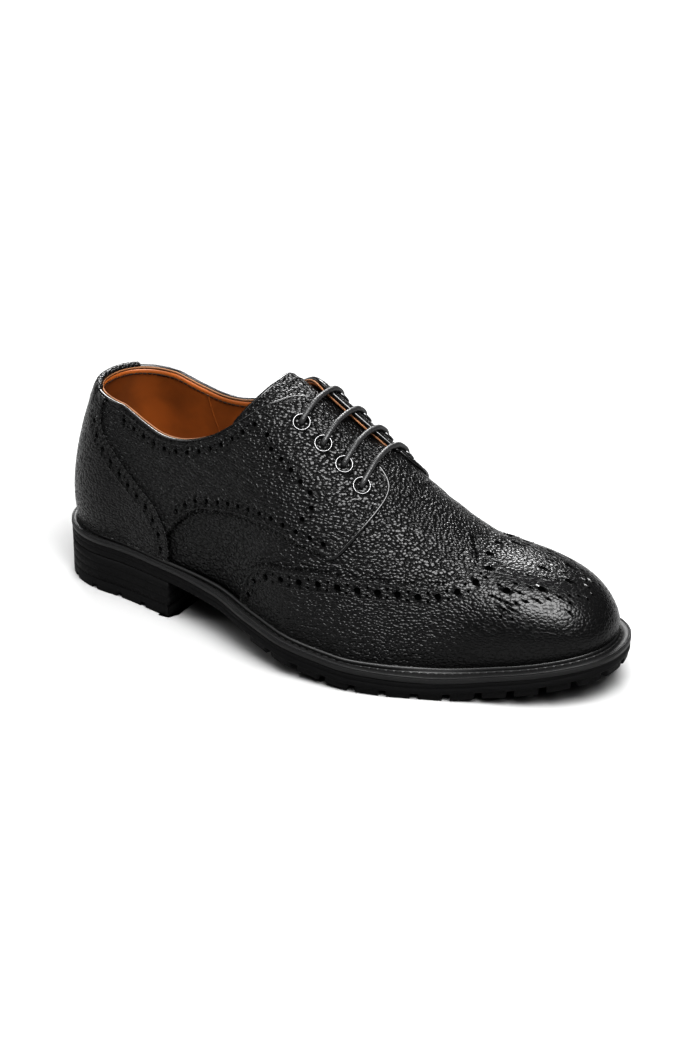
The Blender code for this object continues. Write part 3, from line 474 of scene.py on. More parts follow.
def plan_mesh(scaled):
    """Plan points and triangles of a shape whose loop and hole rings are kept as edges.

    Triangles with all corners on one hole's ring lie in that hole and are left out, as are
    those without area. The rest are turned to have a positive area.
    """
    edge, inner = np.vstack(scaled), lattice_points(scaled)
    ring_of, edges, at = np.full(len(edge) + len(inner), -1), [], 0
    for number, ring in enumerate(scaled):
        index = np.arange(at, at + len(ring))
        ring_of[index] = number
        edges += list(zip(index.tolist(), np.roll(index, -1).tolist()))
        at += len(ring)
    points = np.vstack([edge, inner])
    cut = delaunay_2d_cdt([Vector(point) for point in points.tolist()], edges, [], 1, 1e-6)
    plan = np.array([tuple(vert) for vert in cut[0]]) / PLAN_SCALE
    faces = np.array(cut[2])
    kept = np.array([ring_of[origin[0]] if origin else -1 for origin in cut[3]])
    corner = kept[faces]
    in_hole = (corner[:, 0] > 0) & (corner[:, 0] == corner[:, 1]) & (corner[:, 1] == corner[:, 2])
    faces = faces[~in_hole]
    flat = plan[faces]
    area = np.cross(flat[:, 1] - flat[:, 0], flat[:, 2] - flat[:, 0])
    faces = faces[np.abs(area) > 1e-14]
    area = area[np.abs(area) > 1e-14]
    faces[area < 0] = faces[area < 0][:, ::-1]
    used, faces = np.unique(faces, return_inverse=True)
    return plan[used], faces.reshape(-1, 3)


def rim_of(faces):
    """The edges that only one triangle has, in that triangle's own order."""
    pairs = np.vstack([faces[:, [0, 1]], faces[:, [1, 2]], faces[:, [2, 0]]])
    keys = np.sort(pairs, axis=1)
    _, first, counts = np.unique(keys, axis=0, return_index=True, return_counts=True)
    return pairs[first[counts == 1]]


def panel(name, loop, holes, low, high, material, slot):
    """A cut piece of leather on the last, with real holes.

    The mesh of the plan shape is lifted to two offsets. The rim joins them, and the upper face
    dips at the rim as a cut edge does. Each wall's normal is the product of its edge and depth.
    """
    plan, faces = plan_mesh([line * PLAN_SCALE for line in (loop, *holes)])
    rim = rim_of(faces)
    on_rim = np.zeros(len(plan), dtype=bool)
    on_rim[rim.ravel()] = True
    top_normal = lifted_normal(plan, high)
    top = lifted(plan, high)
    top[on_rim] -= top_normal[on_rim] * RIM_DIP
    under = lifted(plan, low)
    size = len(plan)
    walls = np.stack([rim[:, 0], rim[:, 0] + size, rim[:, 1] + size, rim[:, 1]], axis=-1)
    outward = np.cross(top[rim[:, 1]] - top[rim[:, 0]], under[rim[:, 0]] - top[rim[:, 0]])
    all_points = np.vstack([top, under])
    all_faces = faces.tolist() + (faces[:, ::-1] + size).tolist() + walls[:, ::-1].tolist()
    piece = object_of(name, all_points, all_faces, material, slot)
    loops = np.vstack([top_normal[faces].reshape(-1, 3), -top_normal[faces[:, ::-1]].reshape(-1, 3),
                       np.repeat(unit(outward), 4, axis=0)])
    piece.data.normals_split_custom_set(loops.tolist())
    return piece


def sheet_ring(name, inner, outer, low, high, material, slot, steps):
    """A leather ring between two closed plan loops, ruled from one to the other.

    Its rows divide the mean length of some rulings over the surface into even steps.
    """
    fine, rulings = 400, 24
    share = np.linspace(0, 1, fine)[None, :, None]
    probe = np.linspace(0, len(inner) - 1, rulings).astype(int)
    ruled = inner[probe, None] * (1 - share) + outer[probe, None] * share
    length = np.linalg.norm(np.diff(last_surface(ruled), axis=1), axis=-1).mean(0)
    run = np.concatenate([[0], np.cumsum(length)])
    share = np.interp(np.linspace(0, run[-1], steps), run, share.ravel())[None, :, None]
    plan = inner[:, None] * (1 - share) + outer[:, None] * share
    rows, cols = plan.shape[:2]
    top, under = lifted(plan, high), lifted(plan, low)
    profile = np.concatenate([under, top[:, ::-1]], axis=1)
    faces = grid_quads(rows, 2 * cols, around=True, across=True)
    return object_of(name, profile.reshape(-1, 3), faces, material, slot)


def swept(points, radius, up, count=8, ends=True):
    """Points and faces of a tube along a path. `up` is a direction off the path at each point.

    A ring's points are the cosine of their turn times the side, the product of tangent and up,
    and the sine times the direction upright on both.
    """
    tangent = unit(np.gradient(points, axis=0))
    side = unit(np.cross(tangent, up))
    upward = np.cross(side, tangent)
    turn = np.linspace(0, 2 * math.pi, count, endpoint=False)
    radius = np.broadcast_to(radius, len(points))[:, None, None]
    skin = points[:, None] + radius * (np.cos(turn)[None, :, None] * side[:, None]
                                       + np.sin(turn)[None, :, None] * upward[:, None])
    faces = grid_quads(len(points), count, across=True).tolist()
    if ends:
        faces += end_rings(len(points), count)
    return skin.reshape(-1, 3), faces


def joined(parts):
    """Several point and face lists as one."""
    points, faces, at = [], [], 0
    for part_points, part_faces in parts:
        points.append(part_points)
        faces += [[corner + at for corner in face] for face in part_faces]
        at += len(part_points)
    return np.vstack(points), faces


def bead(line, offset, radius, count=8):
    """A rounded edge or welted seam that runs along a plan line."""
    return swept(lifted(line, offset), radius, surface_frame(line)[2], count)


def stitch_rows(rows, length, pitch, radius):
    """Short threads along plan lines, each a pinched tube sunk by half, as one shape.

    `rows` holds plan lines and the offset of the leather that each row lies on. `stops` holds
    the shares of the stitch's length and of its radius, which make its pinched ends.
    """
    middles, tangents, normals = [], [], []
    for line, offset in rows:
        at = even(line, pitch)
        points = lifted(at, offset)
        middles.append((points[1:] + points[:-1]) / 2)
        tangents.append(unit(points[1:] - points[:-1]))
        normals.append(surface_frame((at[1:] + at[:-1]) / 2)[2])
    middle, tangent, normal = (np.vstack(part)[:, None, None]
                               for part in (middles, tangents, normals))
    side = np.cross(tangent, normal)
    stops, sides = ((-0.5, 0.35), (-0.42, 0.9), (0.0, 1.0), (0.42, 0.9), (0.5, 0.35)), 6
    along, wide = (np.array(part)[None, :, None, None] for part in zip(*stops))
    turn = np.linspace(0, 2 * math.pi, sides, endpoint=False)[None, None, :, None]
    skin = middle + tangent * (along * length) + wide * radius * (
        np.cos(turn) * side + np.sin(turn) * normal)
    first = np.arange(len(middle)) * len(stops) * sides
    one = grid_quads(len(stops), sides, across=True)
    faces = (one[None] + first[:, None, None]).reshape(-1, 4).tolist()
    for cap in end_rings(len(stops), sides):
        faces += (np.array(cap[::-1]) + first[:, None]).tolist()
    return skin.reshape(-1, 3), faces


# Materials
def shader(name, colour, roughness, metallic=0.0, specular=0.5):
    """A material of one surface node, with its node tree and that node."""
    material = bpy.data.materials.new(name)
    material.use_nodes = True
    tree = material.node_tree
    surface = tree.nodes["Principled BSDF"]
    surface.inputs["Base Color"].default_value = (*colour, 1)
    surface.inputs["Roughness"].default_value = roughness
    surface.inputs["Metallic"].default_value = metallic
    surface.inputs["Specular IOR Level"].default_value = specular
    material.diffuse_color = (*colour, 1)
    return material, tree, surface


def node(tree, kind, inputs=(), **settings):
    """A node with its settings, and its inputs set to values or linked to sockets."""
    made = tree.nodes.new(kind)
    for key, value in settings.items():
        setattr(made, key, value)
    for key, value in dict(inputs).items():
        if isinstance(value, bpy.types.NodeSocket):
            tree.links.new(value, made.inputs[key])
        else:
            made.inputs[key].default_value = value
    return made


def math_node(tree, operation, first, second=0.0):
    """The result of one operation on two values or sockets."""
    return node(tree, "ShaderNodeMath", {0: first, 1: second}, operation=operation).outputs[0]


def spot(tree, scale=(1, 1, 1)):
    """Object coordinates, stretched."""
    place = node(tree, "ShaderNodeTexCoord").outputs["Object"]
    return node(tree, "ShaderNodeMapping", {"Vector": place, "Scale": scale}).outputs["Vector"]


def span(tree, value, low, high, to_low=0.0, to_high=1.0):
    """A value's way from low to high, as a smooth step from one new value to the other."""
    return node(tree, "ShaderNodeMapRange", {
        "Value": value, "From Min": low, "From Max": high, "To Min": to_low, "To Max": to_high},
        interpolation_type="SMOOTHSTEP").outputs["Result"]


def bump(tree, surface, height, distance, strength=1.0):
    """A bump whose height runs over the distance, fed into the surface's normal."""
    made = node(tree, "ShaderNodeBump", {
        "Height": height, "Distance": distance, "Strength": strength})
    tree.links.new(made.outputs["Normal"], surface.inputs["Normal"])
    return made


def pebbled_leather(name, looks, cell, depth=1.0, calm_toe=False):
    """Black leather with a pressed grain.

    The height is a dome over each cell, which falls by a smooth step as the squared distance to
    the cell's point grows, and a fine wrinkle of noise. Valleys are duller, and painted shade
    darkens their colour towards a third of the leather's.
    """
    colour, gloss = tuple(looks.leather_colour), looks.gloss
    material, tree, surface = shader(name, colour, gloss, specular=0.22)
    place = spot(tree, (0.85, 1, 1.2))
    wobble = node(tree, "ShaderNodeTexNoise", {"Vector": place, "Scale": 0.4 / cell, "Detail": 1.0})
    shift = node(tree, "ShaderNodeVectorMath", {0: wobble.outputs["Color"], 1: (0.5, 0.5, 0.5)},
                 operation="SUBTRACT").outputs[0]
    shift = node(tree, "ShaderNodeVectorMath", {0: shift, "Scale": cell * 0.8},
                 operation="SCALE").outputs[0]
    place = node(tree, "ShaderNodeVectorMath", {0: place, 1: shift}, operation="ADD").outputs[0]
    cells = node(tree, "ShaderNodeTexVoronoi", {
        "Vector": place, "Scale": 1 / cell, "Randomness": 0.85, "Smoothness": 0.12},
        feature="SMOOTH_F1").outputs["Distance"]
    pores = node(tree, "ShaderNodeTexNoise", {"Vector": place, "Scale": 2.6 / cell, "Detail": 2.0})
    dome = span(tree, math_node(tree, "MULTIPLY", cells, cells), 0.0, 0.85, 1.0, 0.0)
    height = math_node(tree, "ADD", dome, math_node(tree, "MULTIPLY", pores.outputs[0], 0.14))
    made = bump(tree, surface, height, looks.grain_depth * cell * depth)
    if calm_toe:
        split = node(tree, "ShaderNodeSeparateXYZ", {
            0: node(tree, "ShaderNodeTexCoord").outputs["Object"]})
        calm = span(tree, split.outputs["X"], 0.165, 0.225, 1.0, 0.30)
        tree.links.new(calm, made.inputs["Strength"])
    rough = span(tree, height, 0.2, 1.0, min(gloss + 0.25, 1.0), gloss)
    tree.links.new(rough, surface.inputs["Roughness"])
    # Painted shade: the colour falls to a third of the leather's in the grain's valleys
    tone = node(tree, "ShaderNodeMix", {
        "Factor": span(tree, height, 0.15, 1.0), "A": (*(part * 0.3 for part in colour), 1),
        "B": (*colour, 1)}, data_type="RGBA")
    tree.links.new(tone.outputs["Result"], surface.inputs["Base Color"])
    return material


PORE_DEPTH = 0.00004


def smooth_leather(name, colour, gloss):
    """Plain folded or lining leather: cloudy colour and fine pores."""
    material, tree, surface = shader(name, colour, gloss, specular=0.4)
    place = spot(tree)
    cloud = node(tree, "ShaderNodeTexNoise", {"Vector": place, "Scale": 45.0, "Detail": 4.0})
    fine = node(tree, "ShaderNodeTexNoise", {"Vector": place, "Scale": 1700.0, "Detail": 2.0})
    dark = tuple(part * 0.62 for part in colour)
    tone = node(tree, "ShaderNodeMix", {
        "Factor": span(tree, cloud.outputs[0], 0.3, 0.7), "A": (*dark, 1), "B": (*colour, 1)},
        data_type="RGBA")
    tree.links.new(tone.outputs["Result"], surface.inputs["Base Color"])
    bump(tree, surface, fine.outputs[0], PORE_DEPTH)
    return material


def moulded_rubber(name, ribbed):
    """Dull black rubber. On the sole's side, faint level lines as of stacked layers."""
    material, tree, surface = shader(name, (0.017, 0.017, 0.0175), 0.6, specular=0.08)
    lines = node(tree, "ShaderNodeTexNoise", {
        "Vector": spot(tree, (14, 14, 1400 if ribbed else 60)), "Scale": 1.0, "Detail": 4.0})
    dust = node(tree, "ShaderNodeTexNoise", {"Vector": spot(tree), "Scale": 900.0, "Detail": 2.0})
    tone = node(tree, "ShaderNodeMix", {
        "Factor": span(tree, lines.outputs[0], 0.35, 0.7), "A": (0.0035, 0.0035, 0.0037, 1),
        "B": (0.005, 0.005, 0.0051, 1)}, data_type="RGBA")
    tree.links.new(tone.outputs["Result"], surface.inputs["Base Color"])
    grit = math_node(tree, "MULTIPLY", dust.outputs[0], 0.4)
    height = math_node(tree, "ADD", lines.outputs[0], grit)
    bump(tree, surface, height, 0.00012 if ribbed else 0.00006)
    rough = span(tree, dust.outputs[0], 0.3, 0.7, 0.48, 0.66)
    tree.links.new(rough, surface.inputs["Roughness"])
    return material


def waxed_thread(name, colour, gloss, scale):
    """Twisted thread or braided lace: slanting ridges from two crossed waves."""
    material, tree, surface = shader(name, colour, gloss, specular=0.4)
    first, second = (node(tree, "ShaderNodeTexWave", {
        "Vector": spot(tree, (slant, 0.7, 0.7)), "Scale": scale, "Distortion": 1.5},
        bands_direction="DIAGONAL").outputs["Fac"] for slant in (1, -1))
    height = math_node(tree, "MAXIMUM", first, second)
    bump(tree, surface, height, 0.00010, 0.7)
    return material


MATERIALS = {}


def make_finishes(looks):
    """All finishes, made once from the leather's settings."""
    enamel, _, _ = shader("eyelet_enamel_finish", tuple(looks.eyelet_colour), 0.25, metallic=0.9)
    # Painted shade: a matt near-black finish without gloss for the discs under the punched holes
    dark, _, _ = shader("painted_hole_shade_finish", (0.0008, 0.0008, 0.0008), 1.0, specular=0.0)
    polish, _, _ = shader("polished_edge", (0.006, 0.006, 0.0062), 0.4, specular=0.2)
    black = tuple(looks.leather_colour)
    MATERIALS.update(
        coarse=pebbled_leather("quarter_leather", looks, looks.quarter_grain),
        vamp=pebbled_leather("vamp_leather", looks, looks.vamp_grain),
        fine=pebbled_leather("counter_leather", looks, looks.counter_grain, 0.75),
        cap=pebbled_leather("cap_leather", looks, looks.cap_grain, 0.9, calm_toe=True),
        enamel=enamel, polish=polish, dark=dark,
        folded=smooth_leather("folded_edge", black, 0.27),
        lining=smooth_leather("lining_tan", tuple(looks.lining_colour), 0.42),
        raw=smooth_leather("raw_edge", tuple(looks.raw_colour), 0.7),
        welt=smooth_leather("welt_black", black, 0.5),
        side=moulded_rubber("sole_side", True),
        tread=moulded_rubber("sole_tread", False),
        thread=waxed_thread("black_thread", tuple(part * 0.4 for part in black), 0.75, 900.0),
        lace=waxed_thread("waxed_lace_finish", (0.012, 0.012, 0.0123), 0.45, 420.0))


# Upper: offsets from the last of the vamp, of the pieces over it, of the counter and of the
# lining, and the girth share of the topline at the back
VAMP_UNDER, VAMP_TOP, OVERLAY_TOP = -0.0007, 0.0004, 0.0018
COUNTER_UNDER, COUNTER_TOP = 0.0010, 0.0025
LINING_INSIDE, LINING_OUTSIDE = -0.0020, -0.00075
BACK_SHARE = 0.535


def soft_creases(plan):
    """The vamp's soft creases: shallow troughs across the flex line, and a hollow at the waist.

    A trough is a bell curve across a line that slants with the girth and sways by a sine, times
    a bell curve along that line. The hollow is the product of two bell curves.
    """
    x, q = plan[..., 0] / SOLE_LENGTH, plan[..., 1] / BALL_WIDTH
    height = np.zeros_like(x)
    for station, lean, depth, wide in ((0.655, 0.10, 0.00030, 0.008), (0.683, 0.12, 0.00035, 0.009),
                                       (0.712, 0.10, 0.00022, 0.009)):
        across = x - station + lean * np.abs(q) + 0.006 * np.sin(9 * q + 40 * station)
        height -= depth * np.exp(-(across / wide) ** 2) * np.exp(-((np.abs(q) - 0.12) / 0.2) ** 2)
    height -= 0.0008 * np.exp(-((x - 0.36) / 0.07) ** 2) * np.exp(-((q + 0.40) / 0.09) ** 2)
    return height


def creased(offset):
    """An offset with the soft creases added, as a function of the plan place."""
    return lambda plan: offset + soft_creases(plan)


def back_arc(count, side, added=0.0):
    """The topline round the heel, from the side towards the middle of the back.

    Its girth share falls with the square of the turn, from the collar's to the back's.
    """
    turn = np.linspace(math.pi / 2, 0, count)
    share = BACK_SHARE + added + (COLLAR[0][1] - BACK_SHARE) * (turn / (math.pi / 2)) ** 2
    x = HEEL_CENTRE - HEEL_ROUND * share * np.cos(turn) ** (2 / PLAN_POWER)
    g = share * np.sin(turn) ** (2 / PLAN_POWER)
    return np.stack([x, side * g * half_width(x, side)], axis=-1)


def both_sides(make, first=LATERAL):
    """One side's line and, from where it ends, the other side's run back."""
    return np.vstack([make(first), make(-first)[::-1][1:]])


def opening_half(side):
    """Half of the opening's edge: the throat's quarter circle, facing, collar and back."""
    facing = drawn(FACING[::-1], side, 22)
    turn = np.linspace(0, math.pi / 2, 24, endpoint=False)
    reach = FACING[-1][1] * BALL_WIDTH / 2
    x = facing[0, 0] + reach * np.cos(turn)
    front = np.stack([x, side * FACING[-1][1] * np.sin(turn) * half_width(x, side)], axis=-1)
    return np.vstack([front, facing, drawn(COLLAR[::-1], side, 70)[1:], back_arc(31, side)[1:]])


def outline_half(side):
    """Half of the plan's edge from toe to back, divided to face the opening's points."""
    x, share = outline(1600)
    line = np.stack([x, side * share * half_width(x, side)], axis=-1)[::-1]
    run = run_along(line)
    stops = [0, *(np.interp(mark, line[::-1, 0], run[::-1]) for mark in (
        FACING[-1][0] * SOLE_LENGTH, COLLAR[-1][0] * SOLE_LENGTH, HEEL_CENTRE)), run[-1]]
    at = [np.linspace(a, b, n, endpoint=False)
          for a, b, n in zip(stops, stops[1:], (24, 21, 69, 30))]
    at = np.concatenate([*at, [run[-1]]])
    return sampled(line, run, at)


def build_base():
    """The vamp and the body under the overlays, with its tan lining inside."""
    opening, edge = both_sides(opening_half)[:-1], both_sides(outline_half)[:-1]
    vamp = sheet_ring("vamp_and_body", opening, edge, VAMP_UNDER, creased(VAMP_TOP),
                      MATERIALS["vamp"], "upper_leather", 48)
    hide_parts("upper")
    sheet_ring("lining", opening, edge, LINING_INSIDE, LINING_OUTSIDE, MATERIALS["lining"],
               "lining_leather", 32)


def counter_line(side):
    """The counter's front edge, from the sole up to the collar."""
    return even(drawn(COUNTER_EDGE[::-1], side))


def wing_line(side):
    """The wing's edge, from its peak on the ridge to the sole."""
    return even(drawn(WING_EDGE, side))


def spaced_rows(line, start, big_pitch, big, small, gap):
    """Hole rings of one brogued row: big holes, and between them pairs of small ones.

    The big ones lie a pitch apart along the line, centred on it, and at least `start` from its
    ends. A pair lies half a pitch on, `gap` to each side. `big` and `small` are radii.
    """
    run, ahead = run_along(last_surface(line)), 0.0005
    count = int((run[-1] - 2 * start) / big_pitch)
    if count < 1:
        return []
    at = start + (run[-1] - 2 * start - count * big_pitch) / 2 + np.arange(count + 1) * big_pitch
    found = list(rings(sampled(line, run, at), big, 12))
    between = at[:-1] + big_pitch / 2
    middle = sampled(line, run, between)
    tangent = unit(last_surface(sampled(line, run, between + ahead)) - last_surface(middle))
    left = np.cross(surface_frame(middle)[2], tangent)
    for side in (-1, 1):
        found += list(rings(middle + plan_move(middle, left * side * gap), small, 8))
    return found


# What the pieces leave for later: stitch rows with their offset, and hole rings with theirs
STITCHES, HOLES = [], []


def build_wing_cap():
    """The wing cap: pinked wing edge, a brogued row between two stitch rows, and the medallion."""
    punching = bpy.context.scene.shoe_punching
    top = np.vstack([gimped(wing_line(LATERAL)[::-1]), gimped(wing_line(MEDIAL))[1:]])
    tail, holes = WING_EDGE[-1][0] * SOLE_LENGTH, []
    foot = both_sides(lambda side: foot_line(tail, True, side), first=MEDIAL)
    for side in (LATERAL, MEDIAL):
        line = wing_line(side)
        for apart in (0.0019, 0.0092):
            STITCHES.append((keep_side(beside(line, -side * apart), side), OVERLAY_TOP))
        holes += spaced_rows(
            keep_side(beside(line, -side * 0.0055), side), 0.004, punching.wing_pitch,
            punching.wing_hole / 2, small=0.00066, gap=0.0019)
    holes += medallion()
    HOLES.append((holes, VAMP_TOP + 0.0001))
    cap = panel("wing_cap_leather", np.vstack([top, foot]), holes, VAMP_TOP, creased(OVERLAY_TOP),
                MATERIALS["cap"], "upper_leather")
    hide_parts("wing_cap")


# Station, and distance to either side of the ridge in millimetres
MEDALLION_BIG = ((0.820, 13.0), (0.848, 8.1), (0.834, 0), (0.862, 0))
MEDALLION_SMALL = (
    (0.810, 15.8), (0.818, 15.8), (0.826, 15.7), (0.834, 14.8), (0.842, 13.4), (0.851, 11.7),
    (0.859, 9.8), (0.867, 7.5), (0.873, 5.2), (0.880, 3.2), (0.889, 1.6), (0.826, 17.5),
    (0.834, 16.7), (0.826, 19.3), (0.838, 18.6), (0.879, 7.1), (0.885, 9.5), (0.832, 12.0),
    (0.838, 9.2), (0.824, 10.1), (0.811, 12.4), (0.829, 5.7), (0.842, 3.6), (0.852, 2.6))


def medallion():
    """The toe's medallion, mirrored about the ridge: oval big holes and curved rows of small."""
    found = []
    for places, radius, count, stretch in ((MEDALLION_BIG, 0.00138, 14, 1.35),
                                           (MEDALLION_SMALL, 0.00068, 8, 1.0)):
        for station, share in places:
            for side in (LATERAL, MEDIAL) if share else (LATERAL,):
                place = np.array((station * SOLE_LENGTH, side * share / 1000))
                found += list(rings(place, radius, count, stretch))
    return found


def build_counter():
    """The counter: pinked front edges with a brogued row, and the strap up to the collar."""
    halves, holes, punching = {}, [], bpy.context.scene.shoe_punching
    for side in (LATERAL, MEDIAL):
        line = counter_line(side)
        body = line[: int(len(line) * 0.93)]
        STITCHES.append((body[2:], COUNTER_TOP))
        STITCHES.append((keep_side(beside(body, -side * 0.0082), side), COUNTER_TOP))
        holes += spaced_rows(
            keep_side(beside(body, -side * 0.0049), side), 0.003, punching.counter_pitch,
            punching.counter_hole / 2, small=0.00045, gap=0.0015)
        arc = back_arc(120, side)
        arc = arc[arc[:, 0] < line[-1, 0] - 0.0004]
        halves[side] = np.vstack([gimped(line, 0.0025, -0.0009 * side), even(arc)])
    tail = COUNTER_EDGE[-1][0] * SOLE_LENGTH
    foot = both_sides(lambda side: foot_line(tail, False, side), first=MEDIAL)
    HOLES.append((holes, COUNTER_UNDER + 0.0001))
    piece = panel("counter_leather_piece", np.vstack([both_sides(halves.get), foot]), holes,
                  COUNTER_UNDER, COUNTER_TOP, MATERIALS["fine"], "upper_leather")
    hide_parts("heel_counter")


def eyelet_places(side):
    """The eyelets' plan places on one side: their girth shares times the half width."""
    places = np.array(EYELET_PLACES) * (SOLE_LENGTH, 1.0)
    places[:, 1] = side * places[:, 1] * half_width(places[:, 0], side)
    return places


def build_quarter(side):
    """A quarter with its facing: folded front, pinked hem, brogued rows and eyelet holes."""
    punching, which = bpy.context.scene.shoe_punching, "outer" if side == LATERAL else "inner"
    front = even(drawn(FACING_FRONT, side))
    hem = even(drawn(QUARTER_HEM[::-1], side))
    collar = even(np.vstack([drawn(COLLAR, side), drawn(FACING, side)[1:]]))
    under = even(beside(counter_line(side)[6:-2], -side * 0.004))
    loop = np.vstack([collar, front[1:], gimped(hem, depth=0.0010 * side)[1:], under])
    eyelets = list(rings(eyelet_places(side), bpy.context.scene.shoe_lacing.eyelet_hole / 2, 20))
    holes = []
    for row in (beside(even(drawn(COLLAR[:9], side)), side * 0.0054),
                beside(even(drawn(QUARTER_HEM[2:][::-1], side)), side * 0.0056),
                drawn(FACING_ROW, side)):
        holes += spaced_rows(row, 0.003, punching.quarter_pitch, punching.quarter_hole / 2,
                             small=0.00042, gap=0.0014)
    HOLES.append((holes, VAMP_TOP + 0.0001))
    quarter = panel(f"quarter_piece_{which}", loop, eyelets + holes, VAMP_TOP,
                    creased(OVERLAY_TOP), MATERIALS["coarse"], "upper_leather")
    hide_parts("quarter_lateral" if side == LATERAL else "quarter_medial")
    for line, apart in ((drawn(COLLAR, side), -0.0022), (drawn(FACING, side), -0.0020),
                        (drawn(FACING_FRONT, side), -0.0020), (drawn(FACING_FRONT, side), -0.0042),
                        (drawn(QUARTER_HEM[::-1][:-1], side), -0.0020)):
        STITCHES.append((beside(even(line), -side * apart), OVERLAY_TOP))


def build_edges():
    """The folded black topline and facing edges, with the lining's raw edge inside it."""
    line = even(both_sides(lambda side: np.vstack([
        drawn(FACING[::-1], side), drawn(COLLAR[::-1], side)[1:], back_arc(60, side)[1:]])))
    black = [bead(line, 0.0007, 0.00105)]
    for side in (LATERAL, MEDIAL):
        black.append(bead(even(drawn(FACING_FRONT, side)), 0.0012, 0.00085))
    object_of("folded_edges", *joined(black), MATERIALS["folded"], "upper_leather")
    collar = line[line[:, 0] < COLLAR[-1][0] * SOLE_LENGTH]
    collar = even(beside(collar, -0.0007))
    facings = [bead(even(drawn(FACING, side)), -0.0013, 0.00055)
               for side in (LATERAL, MEDIAL)]
    object_of("lining_edge", *joined([bead(collar, -0.0010, 0.00050), *facings]),
              MATERIALS["raw"], "lining_leather")
    seams = [bead(even(drawn(LINING_SEAM, side)), LINING_INSIDE, 0.00028, 6)
             for side in (LATERAL, MEDIAL)]
    object_of("lining_seams", *joined(seams), MATERIALS["lining"], "lining_leather")


def build_painted_hole_shade():
    """Painted shade in each punched hole: its ring, a little wider, filled flat below the piece."""
    points, faces, at = [], [], 0
    for holes, offset in HOLES:
        for ring in holes:
            wide = ring.mean(0) + (ring - ring.mean(0)) * 1.12
            points.append(lifted(wide, offset))
            faces.append(list(range(at, at + len(ring))))
            at += len(ring)
    # Each disc is painted shade, a matt near-black fill under its hole
    object_of("painted_hole_shade", np.vstack(points), faces, MATERIALS["dark"], "upper_leather")
    HOLES.clear()


def topline():
    """The collar's line from the outer facing round the back to the inner one."""
    return both_sides(lambda side: np.vstack([drawn(COLLAR[::-1], side), back_arc(60, side)[1:]]))


def build_strap_fold():
    """The strap's end, folded over the topline at the back.

    A closed profile (share added to the topline's, offset from the last) is carried round the
    back of the collar. Near both ends it shrinks about its foot, by the share of its way there.
    """
    profile = ((0.055, 0.0022), (0.055, 0.0029), (0.010, 0.0030), (-0.010, 0.0027),
               (-0.017, 0.0017), (-0.019, 0.0005), (-0.016, -0.0005), (-0.008, -0.0009),
               (0.004, -0.0008), (0.004, 0.0018))
    along, rows = np.linspace(0, 1, 60), []
    for added, offset in profile:
        arc = both_sides(lambda side: back_arc(60, side, added))
        row = lifted(even(arc[arc[:, 0] < 0.096 * SOLE_LENGTH]), offset)
        rows.append(sampled(row, np.linspace(0, 1, len(row)), along))
    points = np.stack(rows, axis=1)
    taper = np.clip(np.minimum(along, 1 - along) / 0.10, 0.25, 1.0)[:, None, None]
    foot = points[:, (0, -1)].mean(axis=1, keepdims=True)
    points = foot + (points - foot) * taper
    faces = grid_quads(len(along), len(profile), across=True).tolist()
    object_of("strap_fold", points.reshape(-1, 3), faces + end_rings(len(along), len(profile)),
              MATERIALS["fine"], "upper_leather")


def tongue_top(plan):
    """The offset of the tongue's upper face, which lies under the facings.

    It rises by a smooth step at its front to run into the vamp, puffs by a bell curve over the
    station, and is flattened by one over the crest towards the free end.
    """
    rise = np.clip((plan[..., 0] - 0.168) / 0.017, 0, 1)
    rise = rise * rise * (3 - 2 * rise)
    puff = 0.0006 * np.exp(-((plan[..., 0] - 0.131) / 0.006) ** 2)
    free = np.clip((0.146 - plan[..., 0]) / 0.02, 0, 1)
    crest = 0.0026 * np.exp(-(plan[..., 1] / 0.0085) ** 2) * free * free * (3 - 2 * free)
    return -0.0029 + rise * (0.0029 + VAMP_TOP + 0.00008) + puff - crest


def build_tongue():
    """The tongue with a rounded free top, a turned edge and a stitch row along it."""
    across = np.linspace(-1, 1, 61)[:, None]
    along = np.linspace(0, 1, 110)[None, :]
    top = 0.417 * SOLE_LENGTH - 0.0165 * np.abs(across) ** 2.8
    x = top * (1 - along) + 0.198 * along
    taper = 1 - 0.32 * along**1.5 - 0.36 * np.clip((x - 0.170) / 0.028, 0, 1) ** 1.5
    plan = np.stack([x, across * 0.205 * BALL_WIDTH * taper], axis=-1)
    over = lifted(plan, tongue_top)
    under = lifted(plan, lambda place: tongue_top(place) - 0.0024 * np.clip(
        (0.192 - place[..., 0]) / 0.02, 0.03, 1))
    skin = np.concatenate([under, over[:, ::-1]], axis=1)
    rows, cols = x.shape
    faces = grid_quads(rows, 2 * cols, across=True).tolist()
    piece = object_of("tongue_leather", skin.reshape(-1, 3), faces + edge_strips(rows, cols),
                      MATERIALS["coarse"], "upper_leather")
    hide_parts("tongue")
    edge = even(np.vstack([plan[0, :60][::-1], plan[:, 0][1:-1], plan[-1, :60]]))
    object_of("tongue_edge", *bead(edge, lambda place: tongue_top(place) - 0.0011, 0.00125),
              MATERIALS["folded"], "upper_leather")
    inner = np.vstack([plan[4, 6:50][::-1], plan[4:-4, 6], plan[-5, 6:50]])
    STITCHES.append((even(inner), tongue_top))


def build_stitches():
    """All stitch rows that the pieces left, and one inside the lining's top edge."""
    punching = bpy.context.scene.shoe_punching
    STITCHES.append((beside(even(topline()), 0.0024), -0.0021))
    object_of("stitching", *stitch_rows(STITCHES, punching.stitch_length, punching.stitch_pitch,
                                        punching.stitch_width / 2),
              MATERIALS["thread"], "upper_leather")
    STITCHES.clear()


# Sole
UPWARD = (0.0, 0.0, 1.0)


